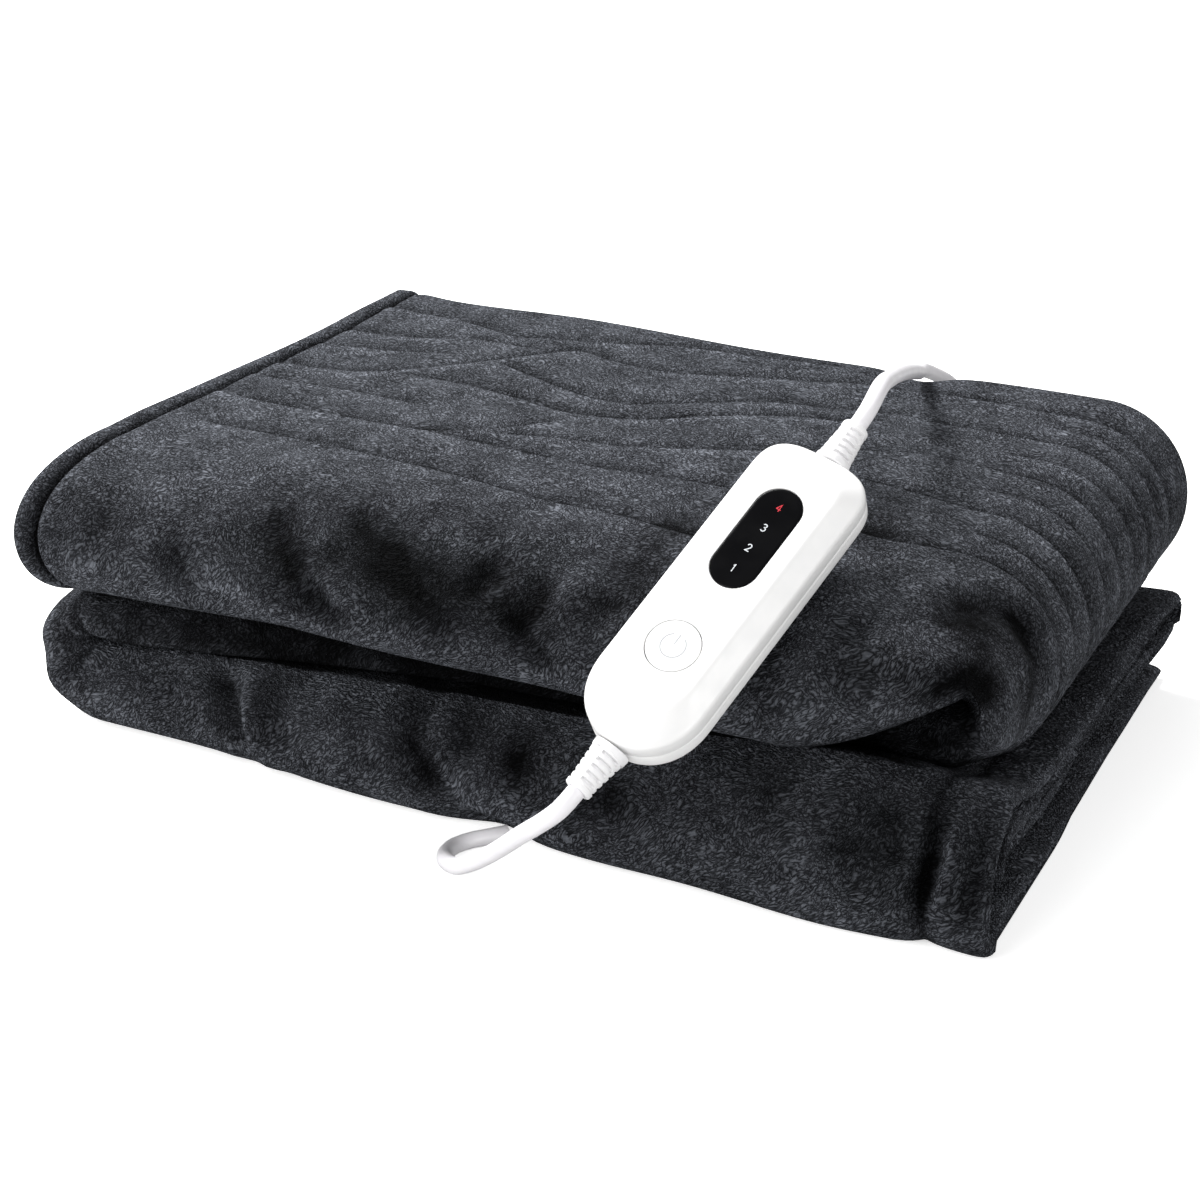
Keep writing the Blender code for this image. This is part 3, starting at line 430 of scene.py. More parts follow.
def new_group(name: str, inputs: dict[str, tuple[str, object]],
              outputs: dict[str, str]) -> tuple[Graph, dict, Node]:
    """An empty shader node group.

    Args:
        name: the group's name.
        inputs: each input's socket type and default value.
        outputs: each output's socket type.

    Returns:
        The group's graph, its input sockets by name and its output node.
    """
    tree = bpy.data.node_groups.new(name, "ShaderNodeTree")
    for label, (kind, value) in inputs.items():
        socket = tree.interface.new_socket(label, in_out="INPUT", socket_type=kind)
        if value is not None:
            socket.default_value = value
    for label, kind in outputs.items():
        tree.interface.new_socket(label, in_out="OUTPUT", socket_type=kind)
    graph = Graph(tree)
    entry = graph.add("NodeGroupInput")
    leave = graph.add("NodeGroupOutput")
    return graph, {label: entry.outputs[label] for label in inputs}, leave


def pile_group() -> NodeTree:
    """Short pile brushed in a swirling flow: streaks of fibre clumps and softer lay marks, with painted shade
    in the partings and hollows between the clumps.
    """
    float_kind, vector_kind = "NodeSocketFloat", "NodeSocketVector"
    graph, given, leave = new_group(
        "brushed_pile",
        {"Place": (vector_kind, None), "Clump Width": (float_kind, 0.0009),
         "Clump Length": (float_kind, 0.004), "Swirl": (float_kind, 0.01)},
        {"Height": float_kind, "Tone": float_kind, "Lay": float_kind})
    place = given["Place"]
    half = (0.5, 0.5, 0.5)
    wide = graph.vector("SUBTRACT", graph.noise(place, 38.0, 1.0, output="Color"), half)
    near = graph.vector("SUBTRACT", graph.noise(place, 230.0, 1.0, output="Color"), half)
    swirl = graph.add("VectorMath", {0: wide, "Scale": given["Swirl"]}, operation="SCALE").outputs[0]
    curl_size = graph.math("MULTIPLY", given["Swirl"], 0.09)
    curl = graph.add("VectorMath", {0: near, "Scale": curl_size}, operation="SCALE").outputs[0]
    bent = graph.vector("ADD", graph.vector("ADD", place, swirl), curl)
    flow = graph.add("VectorRotate", {"Vector": bent, "Rotation": (0.0, 0.78, 0.38)},
                     rotation_type="EULER_XYZ").outputs[0]
    across = graph.math("DIVIDE", 1.0, given["Clump Width"])
    along = graph.math("DIVIDE", 1.0, given["Clump Length"])
    rate = graph.add("CombineXYZ", {0: along, 1: across, 2: across}).outputs[0]
    stretched = graph.vector("MULTIPLY", flow, rate)
    lines, lumps = graph.partings(stretched, 0.09, 0.24)
    deep_lines, tufts = graph.partings(graph.vector("MULTIPLY", stretched, half), 0.06, 0.22)
    fibres = graph.noise(graph.vector("MULTIPLY", stretched, (1.6, 2.4, 2.4)), 1.0, 1.0)
    height = graph.math("ADD", graph.math("MULTIPLY", lumps, 0.50), graph.math("MULTIPLY", tufts, 0.30))
    height = graph.math("ADD", height, graph.math("MULTIPLY", fibres, 0.40))
    # painted shade: the tone is darker on the partings and where the pile is low
    parted = graph.math("MULTIPLY", graph.spread(lines, 0.0, 1.0, 0.08, 1.0),
                        graph.spread(deep_lines, 0.0, 1.0, 0.35, 1.0))
    tone = graph.math("MULTIPLY", parted, graph.spread(height, 0.20, 1.0, 0.42, 1.0))
    lay = graph.spread(graph.noise(place, 44.0, 3.0, 0.6), 0.3, 0.7)
    graph.feed(leave, {"Height": height, "Tone": tone, "Lay": lay})
    return graph.tree


def grain_group() -> NodeTree:
    """The fine uneven surface of moulded plastic."""
    float_kind = "NodeSocketFloat"
    graph, given, leave = new_group(
        "moulded_grain",
        {"Place": ("NodeSocketVector", None), "Fineness": (float_kind, 2600.0)},
        {"Height": float_kind, "Haze": float_kind})
    fine = graph.noise(given["Place"], given["Fineness"], 2.0, 0.6)
    broad = graph.noise(given["Place"], 90.0, 3.0, 0.5)
    graph.feed(leave, {"Height": fine, "Haze": graph.spread(broad, 0.3, 0.7)})
    return graph.tree


def scaled(colour: Colour, share: float) -> Colour:
    """A colour with each channel multiplied."""
    return tuple(channel * share for channel in colour)


def new_material(name: str) -> tuple[Material, Graph, Node, NodeSocket]:
    """A material with its graph, its shader and object coordinates."""
    made = bpy.data.materials.new(name)
    made.use_nodes = True
    graph = Graph(made.node_tree)
    shader = made.node_tree.nodes["Principled BSDF"]
    place = graph.add("TexCoord").outputs["Object"]
    return made, graph, shader, place


# ======== finishes
@dataclass(frozen=True)
class PlushFinish:
    """Charcoal plush with a short, brushed pile."""

    # the root colour shows in the pile's partings and hollows as painted shade; the tip colour shows on the
    # clumps
    root: Colour = (0.008, 0.0085, 0.010)
    tip: Colour = (0.160, 0.170, 0.194)
    clump_width: float = 1.4 * MM
    clump_length: float = 4.2 * MM
    swirl: float = 15.0 * MM
    pile_depth: float = 1.9 * MM
    lay_share: float = 0.08
    lay_reach: float = 0.34  # how much the lay of the pile wavers the edges of the painted shade
    sheen_head_on: float = 0.46  # painted sheen: brightness seen straight into the pile, against along it
    darkest_painted_shade: float = 0.05  # brightness under the darkest painted shade
    gloss: float = 0.04  # the pile hardly shines, so its partings stay dark

    def build(self, pile: NodeTree) -> Material:
        """Wire the plush.

        Args:
            pile: the brushed pile group.

        Returns:
            The material.
        """
        made, graph, shader, place = new_material("charcoal_plush")
        group = graph.add("Group", {"Place": place, "Clump Width": self.clump_width,
                                    "Clump Length": self.clump_length, "Swirl": self.swirl},
                          node_tree=pile)
        tone = graph.math("ADD", graph.math("MULTIPLY", group.outputs["Tone"], 1.0 - self.lay_share),
                          graph.math("MULTIPLY", group.outputs["Lay"], self.lay_share))
        pile_colour = graph.blend(tone, self.root, self.tip)
        # painted sheen: the colour is darker where the pile is seen head-on and lighter where it is seen
        # along
        facing = graph.add("LayerWeight", {"Blend": 0.5}).outputs["Facing"]
        painted_sheen = graph.spread(facing, 0.0, 0.62, self.sheen_head_on, 1.0)
        # painted shade and painted highlight: the cloth's attribute, wavered by the lay, darkens or lightens
        # the colour
        lay = graph.math("MULTIPLY", graph.math("SUBTRACT", 0.5, group.outputs["Lay"]), self.lay_reach)
        painted_shade = graph.math("ADD", graph.add("Attribute", attribute_name=PAINTED_SHADE).outputs["Fac"], lay)
        painted_shade_factor = graph.add("MapRange", {"Value": painted_shade, "From Min": -0.5, "To Min": 1.45,
                                            "To Max": self.darkest_painted_shade}).outputs["Result"]
        shade = graph.math("MULTIPLY", painted_sheen, painted_shade_factor)
        grey = graph.add("CombineXYZ", {0: shade, 1: shade, 2: shade}).outputs[0]
        graph.feed(shader, {"Base Color": graph.vector("MULTIPLY", pile_colour, grey), "Roughness": 0.92,
                            "Normal": graph.bump(group.outputs["Height"], 1.0, self.pile_depth),
                            "Specular IOR Level": self.gloss})
        made.diffuse_color = (*self.tip, 1.0)
        return made


@dataclass(frozen=True)
class PlasticFinish:
    """Moulded plastic or rubber with a fine grain."""

    name: str
    colour: Colour
    shade: Colour
    roughness: float
    grain: float = 0.02 * MM
    fineness: float = 2600.0
    specular: float = 0.5

    def build(self, grain: NodeTree) -> Material:
        """Wire the plastic.

        Args:
            grain: the moulded grain group.

        Returns:
            The material.
        """
        made, graph, shader, place = new_material(self.name)
        group = graph.add("Group", {"Place": place, "Fineness": self.fineness}, node_tree=grain)
        haze = group.outputs["Haze"]
        rough = graph.spread(haze, 0.0, 1.0, self.roughness * 0.9, self.roughness * 1.12)
        graph.feed(shader, {"Base Color": graph.blend(haze, self.colour, self.shade), "Roughness": rough,
                            "Normal": graph.bump(group.outputs["Height"], 0.5, self.grain),
                            "Specular IOR Level": self.specular})
        made.diffuse_color = (*self.colour, 1.0)
        return made


@dataclass(frozen=True)
class GlowFinish:
    """A printed figure with a faint light behind it."""

    name: str
    colour: Colour
    glow: float

    def build(self, grain: NodeTree) -> Material:
        """Wire the figure.

        Args:
            grain: the moulded grain group.

        Returns:
            The material.
        """
        made, graph, shader, place = new_material(self.name)
        group = graph.add("Group", {"Place": place, "Fineness": 4000.0}, node_tree=grain)
        colour = graph.blend(group.outputs["Haze"], self.colour, scaled(self.colour, 0.86))
        graph.feed(shader, {"Base Color": colour, "Emission Color": colour,
                            "Emission Strength": self.glow, "Roughness": 0.5})
        return made


@dataclass(frozen=True)
class StrapFinish:
    """Black woven strap."""

    colour: Colour = (0.018, 0.018, 0.020)
    thread: float = 0.7 * MM

    def build(self) -> Material:
        """Wire the strap."""
        made, graph, shader, place = new_material("woven_strap")
        wave = graph.add("TexWave", {"Vector": place, "Scale": 0.16 / self.thread, "Distortion": 0.4},
                         bands_direction="Z")
        thread = wave.outputs["Fac"]
        graph.feed(shader, {"Base Color": graph.blend(thread, self.colour, scaled(self.colour, 2.4)),
                            "Normal": graph.bump(thread, 0.8, 0.2 * MM), "Roughness": 0.85})
        return made


@dataclass(frozen=True)
class PlatedFinish:
    """Nickel-plated brass with faint rolling marks."""

    colour: Colour = (0.72, 0.70, 0.66)

    def build(self) -> Material:
        """Wire the plated metal."""
        made, graph, shader, place = new_material("nickel_plate")
        marks = graph.noise(graph.vector("MULTIPLY", place, (2400.0, 160.0, 2400.0)), 1.0, 2.0)
        graph.feed(shader, {"Base Color": graph.blend(marks, self.colour, scaled(self.colour, 0.9)),
                            "Roughness": graph.spread(marks, 0.3, 0.7, 0.18, 0.34), "Metallic": 1.0})
        return made


@dataclass
class Finishes:
    """Every material of the blanket, built once."""

    made: dict[str, Material] = field(default_factory=dict)

    def build(self) -> None:
        """Make the shared groups and all the materials."""
        pile, grain = pile_group(), grain_group()
        self.made["plush"] = PlushFinish().build(pile)
        plastics = (
            PlasticFinish("satin_shell", (0.87, 0.865, 0.86), (0.84, 0.838, 0.835), 0.33),
            PlasticFinish("satin_button", (0.87, 0.865, 0.86), (0.85, 0.848, 0.845), 0.36),
            PlasticFinish("pressed_mark", (0.44, 0.44, 0.46), (0.41, 0.41, 0.43), 0.5),
            PlasticFinish("gloss_window", (0.0025, 0.0025, 0.003), (0.0035, 0.0035, 0.004), 0.22,
                          0.002 * MM, 1200.0, 0.06),
            PlasticFinish("soft_sleeve", (0.86, 0.855, 0.86), (0.82, 0.815, 0.825), 0.48, 0.03 * MM),
            PlasticFinish("soft_cord", (0.83, 0.815, 0.84), (0.79, 0.775, 0.80), 0.38, 0.03 * MM, 1500.0),
            PlasticFinish("moulded_plug", (0.84, 0.83, 0.84), (0.80, 0.795, 0.80), 0.42, 0.03 * MM),
        )
        for plastic in plastics:
            self.made[plastic.name] = plastic.build(grain)
        for figure in (GlowFinish("white_figure", (0.66, 0.69, 0.72), 0.08),
                       GlowFinish("red_figure", (0.55, 0.008, 0.024), 0.12)):
            self.made[figure.name] = figure.build(grain)
        self.made["strap"] = StrapFinish().build()
        self.made["plate"] = PlatedFinish().build()

    def __getitem__(self, name: str) -> Material:
        """The material of that name."""
        return self.made[name]


# ======== the studio
# Each lamp's name, its place and size in metres, and its power in watts.
LAMPS = (("key", (-0.90, 0.50, 1.60), 0.8, 60.0), ("front", (-0.45, -1.90, 1.45), 1.2, 24.0),
         ("low", (-1.35, -1.25, 0.18), 0.9, 18.0), ("side", (1.55, -0.70, 0.50), 0.9, 10.0))


@dataclass
class Studio:
    """Camera, floor and light."""

    azimuth: float = 27.0
    elevation: float = 23.6
    distance: float = 1.0431
    shift_right: float = 0.01714
    shift_up: float = -0.05025
    focal_pixels: float = 2150.0
    sensor: float = 36.0
    floor_size: float = 9.0
    lit_point: tuple[float, float, float] = (0.0, 0.0, 0.08)
    surround: float = 0.32  # light from all round, against the 1 that is seen
    bounce: float = 0.50  # how much light the floor throws back, against what is seen
    floor_lift: float = 0.66  # evens out the floor where the camera sees it

    def camera_place(self) -> tuple[Vector, Vector]:
        """Where the camera stands and where it looks."""
        azimuth, elevation = radians(self.azimuth), radians(self.elevation)
        forward = Vector((-sin(azimuth) * cos(elevation), cos(azimuth) * cos(elevation), -sin(elevation)))
        right = Vector((cos(azimuth), sin(azimuth), 0.0))
        up = right.cross(forward)
        place = -forward * self.distance - right * self.shift_right - up * self.shift_up
        return place, forward

    def stand(self, data: ID, place: Vector, forward: Vector) -> Object:
        """Put a camera or a lamp at a place, facing forward."""
        made = linked(data)
        made.location = place
        made.rotation_mode = "QUATERNION"
        made.rotation_quaternion = forward.to_track_quat("-Z", "Y")
        return made

    def make_camera(self) -> None:
        """Set up the photograph's view."""
        lens = bpy.data.cameras.new("camera")
        lens.sensor_width = self.sensor
        lens.lens = self.focal_pixels / PHOTO_SIZE * self.sensor
        lens.clip_start, lens.clip_end = 0.02, 40.0
        bpy.context.scene.camera = self.stand(lens, *self.camera_place())

    def make_lamp(self, name: str, place: Vector, size: float, power: float) -> None:
        """One soft area lamp that faces the stack."""
        lamp = bpy.data.lights.new(name, "AREA")
        lamp.shape = "DISK"
        lamp.size = size
        lamp.energy = power
        self.stand(lamp, place, Vector(self.lit_point) - place)

    def make_floor(self) -> None:
        """A pale floor."""
        bm = bmesh.new()
        bmesh.ops.create_grid(bm, x_segments=2, y_segments=2, size=self.floor_size / 2)
        mesh = bpy.data.meshes.new("floor")
        bm.to_mesh(mesh)
        bm.free()
        made, graph, shader, place = new_material("pale_floor")
        seen = graph.add("LightPath").outputs["Is Camera Ray"]
        pale = graph.blend(graph.noise(place, 3.0), (0.93, 0.93, 0.93), (0.95, 0.95, 0.95))
        colour = graph.blend(seen, (self.bounce, self.bounce, self.bounce), pale)
        graph.feed(shader, {"Base Color": colour, "Emission Color": colour, "Roughness": 0.9,
                            "Emission Strength": graph.math("MULTIPLY", seen, self.floor_lift)})
        mesh.materials.append(made)
        floor = linked(mesh)

    def make_light(self) -> None:
        """White surroundings, a key lamp behind the stack to the left and a softer one in front."""
        world = bpy.data.worlds.new("studio")
        world.use_nodes = True
        graph = Graph(world.node_tree)
        seen = graph.add("LightPath").outputs["Is Camera Ray"]
        strength = graph.add("MapRange", {"Value": seen, "To Min": self.surround, "To Max": 1.0})
        graph.feed(world.node_tree.nodes["Background"],
                   {"Color": (1.0, 1.0, 1.0, 1.0), "Strength": strength.outputs["Result"]})
        bpy.context.scene.world = world
        bpy.context.scene.view_settings.view_transform = "Standard"
        for name, place, size, power in LAMPS:
            self.make_lamp(name, Vector(place), size, power)

    def build(self) -> None:
        """Make the camera, the light and the floor."""
        self.make_camera()
        self.make_light()
        self.make_floor()


# ======== the cloth
class Layer(Enum):
    """The cloth's layers across the packet, from its outer face inwards, and its nose."""

    OUTER_HIGH = 0
    CORE_HIGH = 1
    CORE_LOW = 2
    OUTER_LOW = 3
    NOSE = 4


class Section(NamedTuple):
    """The packet's section: in millimetres above the floor in the tables, in metres where it is drawn."""

    x: float  # place along the pass
    outer: float  # level of the packet's outer face behind the nose
    bulge: float  # level of that face at the nose
    inner: float  # level of the packet's inner face behind the nose
    sag: float  # level of the inner face at the nose
    tip: float  # level of the foremost line of the nose
    front: float  # Y of that line
    deep_outer: float  # length of the nose's rounding towards the outer face
    deep_inner: float  # length of the nose's rounding towards the inner face
    back: float  # Y of the back edge
    core: float  # Y where the two inner layers turn


class Tuck(NamedTuple):
    """How far the middle pass reaches forward at one place, in millimetres."""

    x: float
    front: float
    tip: float
    deep: float
    core: float
    back: float


class Hem(NamedTuple):
    """One line along a free edge, in millimetres."""

    reach: float  # distance from the edge
    outer: float  # how far the outer side is drawn in
    inner: float  # how far the inner side is drawn in


class StepBack(NamedTuple):
    """How far a layer's right end stands back from the stack's, in millimetres."""

    front: float
    middle: float
    back: float


class Reading(NamedTuple):
    """A value at a place, both in millimetres."""

    place: float
    value: float


class Stitch(NamedTuple):
    """A stitched channel or a wrinkle that runs along the top."""

    name: str
    depth: float  # millimetres
    stops: tuple  # pairs of a distance along the top and over the wrap, and the line's Y there


class Crease(NamedTuple):
    """A soft trough, or a ridge where its depth is negative, along points; all in millimetres."""

    name: str
    depth: float
    width: float  # distance from its line at which the depth has fallen to a third
    points: tuple  # places on the cloth's skin
    dark: float = 0.0  # how much painted shade it puts in its trough, where that isn't told by its depth


class Swell(NamedTuple):
    """A soft swell beside a line; lengths are in millimetres."""

    height: float
    behind: float  # how far behind the line its middle lies
    reach: float

    def at(self, behind: float | np.ndarray) -> float | np.ndarray:
        """Its height at a distance behind the line."""
        return self.height * np.exp(-(((behind - self.behind) / self.reach) ** 2))


class Ramp(NamedTuple):
    """An eased change from 0 to 1; its run is under 0 where it falls as its place grows."""

    start: float
    run: float

    def at(self, place: float) -> float:
        """The share that it has reached at a place."""
        return smooth((place - self.start) / self.run)


class Station(NamedTuple):
    """A place along the packet's path where its section is drawn."""

    origin: tuple  # X and Z of the point that levels are measured from
    normal: tuple  # X and Z of the direction that levels grow in
    section: Section
    along: float  # 0 on the free edge of the top pass, growing by one a pass or wrap
    run_mm: float = 900.0  # distance along the top and over the right wrap; elsewhere beyond every stitch
    drawn_out: float = 0.0
    drawn_in: float = 0.0
    edge: float = 0.0  # 1 at the free right edge, 0 away from it
    shade: float = 0.0  # painted shade: 1 where the whole section lies in a groove or deep in a gap


class RingPoint(NamedTuple):
    """One point of a section's outline."""

    y: float
    level: float
    layer: Layer
    skin: float = 0.0  # 1 where the point lies on the packet's outside
    painted_shade: float = 0.0  # painted shade: 0 on a puff, 1 in the deepest stitched line, under 0 a painted highlight


TOP_PASS = (
    Section(-225, 141.0, 138.0, 90.0, 68.0, 103.0, -166, 62, 42, 163, -136),
    Section(-180, 140.0, 138.5, 90.0, 72.0, 103.5, -165, 61, 36, 158, -137),
    Section(-100, 141.5, 139.5, 90.5, 76.0, 104.0, -163, 58, 32, 156, -136),
    Section(0, 139.2, 139.0, 91.0, 74.0, 104.5, -161, 56, 32, 152, -135),
    Section(60, 139.2, 139.5, 92.0, 73.0, 105.0, -162, 55, 31, 151, -134),
    Section(120, 140.4, 140.5, 94.0, 73.0, 106.0, -163, 53, 29, 150.5, -132),
    Section(150, 140.5, 140.0, 96.0, 76.0, 109.0, -161, 54, 26, 150, -124),
    Section(179, 140.0, 139.0, 97.6, 97.0, 114.0, -156, 58, 22, 150, -104),
)
BOTTOM_PASS = (
    Section(-210, 0.0, 0.0, 43.7, 43.0, 24.0, -149, 24, 22, 149, -120),
    Section(-140, 0.0, 0.0, 44.0, 46.5, 24.5, -150, 24, 25, 150, -126),
    Section(-60, 0.0, 0.0, 45.5, 53.0, 27.0, -153, 22, 28, 151, -129),
    Section(40, 0.0, 0.0, 47.0, 58.5, 28.0, -156, 18, 29, 150, -128),
    Section(100, 0.0, 0.0, 48.0, 64.0, 30.0, -157, 17, 30, 149, -127),
    Section(150, 0.0, 0.0, 48.4, 70.0, 33.0, -157, 17, 31, 148, -126),
    Section(179, 0.0, 0.0, 48.4, 70.0, 33.0, -156, 17, 31, 147, -124),
    Section(224, 0.0, 0.0, 51.0, 66.0, 30.0, -154, 17, 28, 145, -120),
)
MIDDLE_PASS = (
    Tuck(179, -121, 80.0, 24, -78, 148),
    Tuck(150, -106, 76.0, 17, -62, 146),
    Tuck(110, -98, 72.0, 15, -55, 145),
    Tuck(50, -112, 66.5, 13, -53, 145),
    Tuck(-20, -121, 62.5, 12, -53, 146),
    Tuck(-100, -130, 59.5, 12, -53, 147),
    Tuck(-160, -137, 57.0, 13, -54, 148),
    Tuck(-210, -142, 54.5, 13, -56, 148),
)
LEFT_HEM = (Hem(0, 2.9, 2.9), Hem(0.8, 1.6, 1.6), Hem(2.4, 0.3, 0.6), Hem(4.2, -0.4, 0.2),
            Hem(6.0, -0.6, 0.0), Hem(8.0, -0.3, 0.0), Hem(9.6, 0.7, 0.0), Hem(10.8, 2.3, 0.0),
            Hem(11.6, 3.1, 0.0), Hem(12.4, 2.6, 0.0), Hem(14.0, 1.0, 0.0), Hem(17.0, 0.1, 0.0),
            Hem(22.0, -0.2, 0.0), Hem(30.0, 0.0, 0.0))
# How far the left hem bows to the right, from front to back.
LEFT_BOW = (Reading(-166, -5.0), Reading(-150, -4.0), Reading(-130, -1.5), Reading(-100, 1.3),
            Reading(-60, 3.0), Reading(0, 2.6), Reading(70, 3.6), Reading(110, 1.5), Reading(150, -1.0),
            Reading(163, -3.5))
RIGHT_HEM = (Hem(0, 2.9, 2.9), Hem(1.0, 1.5, 1.5), Hem(3.0, 0.4, 0.5), Hem(8.0, 0.0, 0.0),
             Hem(17.0, 0.5, 0.0), Hem(23.0, 1.4, 0.0), Hem(27.0, 2.4, 0.0), Hem(31.0, 1.2, 0.0),
             Hem(38.0, 0.0, 0.0))
# Where the cloth's section is drawn near its free edges, in millimetres from the edge.
LEFT_HEM_STATIONS = (0.0, 0.8, 1.6, 2.6, 4.0, 5.6, 7.2, 8.6, 9.6, 10.4, 11.0, 11.6, 12.2, 13.0, 14.0, 16.0,
                     19.0, 22.5)
RIGHT_HEM_STATIONS = (0.0, 0.8, 1.8, 3.0, 5.0, 8.0, 11.0, 14.0, 17.0, 20.0, 22.5, 24.5, 26.0, 27.5, 29.5,
                      32.0, 35.0)
# The crest before a stitched line; the painted shade in the line and on its slope, and the painted highlight
# on the crest; and the painted shade in the grooves that the hems' seams make, from the free edges.
LINE_CREST = Swell(0.42, -5.0, 4.2)
LINE_PAINTED_SHADES = (Swell(1.25, 0.3, 1.25), Swell(0.44, 4.0, 4.5), Swell(-0.42, -5.5, 3.8))
LEFT_GROOVE_SHADE = Swell(1.0, 11.8, 1.5)
RIGHT_GROOVE_SHADE = Swell(0.6, 27.0, 3.0)
STEP_BACK = {
    Layer.OUTER_LOW: StepBack(1.0, 5.0, 4.0),
    Layer.OUTER_HIGH: StepBack(3.0, 2.0, -3.0),
    Layer.CORE_HIGH: StepBack(8.0, 5.0, 1.0),
    Layer.CORE_LOW: StepBack(13.0, 11.0, 8.0),
    Layer.NOSE: StepBack(2.0, 2.0, 2.0),
}
# Stitched channels along the top, with the wrinkles that join them.
STITCHES = (
    Stitch("front", 2.2, ((-198, -77), (-160, -79), (-120, -82), (-80, -85), (-40, -88), (0, -94),
        (40, -96), (80, -104), (108, -110))),
    Stitch("second", 2.0, ((-212, -38), (-160, -43), (-120, -46), (-60, -47), (0, -48), (40, -46),
        (70, -47), (110, -59), (140, -72), (179, -73), (230, -75), (300, -78))),
    Stitch("second_branch", 1.6, ((-104, -47), (-80, -42), (-60, -28), (-40, -5), (-28, 9))),
    Stitch("third", 1.9, ((-70, -37), (-20, -22), (0, -19), (20, -12), (40, -4), (60, 4), (100, 21),
        (120, 28), (140, 28), (160, 25), (179, 22), (230, 18), (300, 14))),
    Stitch("right_middle", 1.9, ((104, -10), (140, -18), (160, -24), (179, -27), (230, -31), (300, -34))),
    Stitch("fourth", 2.6, ((-142, 24), (-98, 20), (-80, 17), (-60, 13), (-40, 9.5), (-20, 13), (0, 22),
        (20, 38), (40, 49), (60, 56), (80, 58), (104, 70))),
    Stitch("fourth_right", 1.9, ((-112, 62), (-80, 48), (-60, 40), (-40, 34), (-20, 36), (0, 48), (20, 61),
        (40, 71), (60, 73), (80, 75), (100, 78), (120, 73), (140, 72), (179, 70), (230, 66), (300, 62))),
    Stitch("left_middle", 1.2, ((-212, -8), (-180, -9), (-150, -10), (-120, -14), (-96, -18))),
    Stitch("fifth", 2.3, ((-212, 12), (-160, 20), (-140, 33), (-120, 51), (-100, 74), (-80, 95), (-60, 91),
        (-40, 88), (-20, 90), (0, 97), (20, 103), (40, 108), (80, 118), (120, 114), (179, 110), (230, 106),
        (300, 102))),
    Stitch("left_back", 1.3, ((-212, 50), (-180, 54), (-150, 60), (-124, 70))),
    Stitch("sixth", 1.9, ((-212, 76), (-180, 80), (-160, 84), (-140, 90), (-120, 90), (-96, 86))),
    Stitch("back", 1.7, ((-212, 124), (-160, 118), (-120, 103), (-100, 107), (-80, 113), (-60, 119),
        (-40, 129), (0, 134), (60, 139))),
    Stitch("wrap_front", 1.5, ((150, -48), (179, -51), (230, -54), (300, -56))),
    Stitch("wrap_middle", 1.3, ((152, 0), (179, -2), (230, -6), (300, -10))),
    Stitch("wrap_third", 1.3, ((146, 49), (179, 46), (230, 42), (300, 38))),
    Stitch("wrap_back", 1.2, ((150, 93), (179, 90), (230, 86), (300, 82))),
)
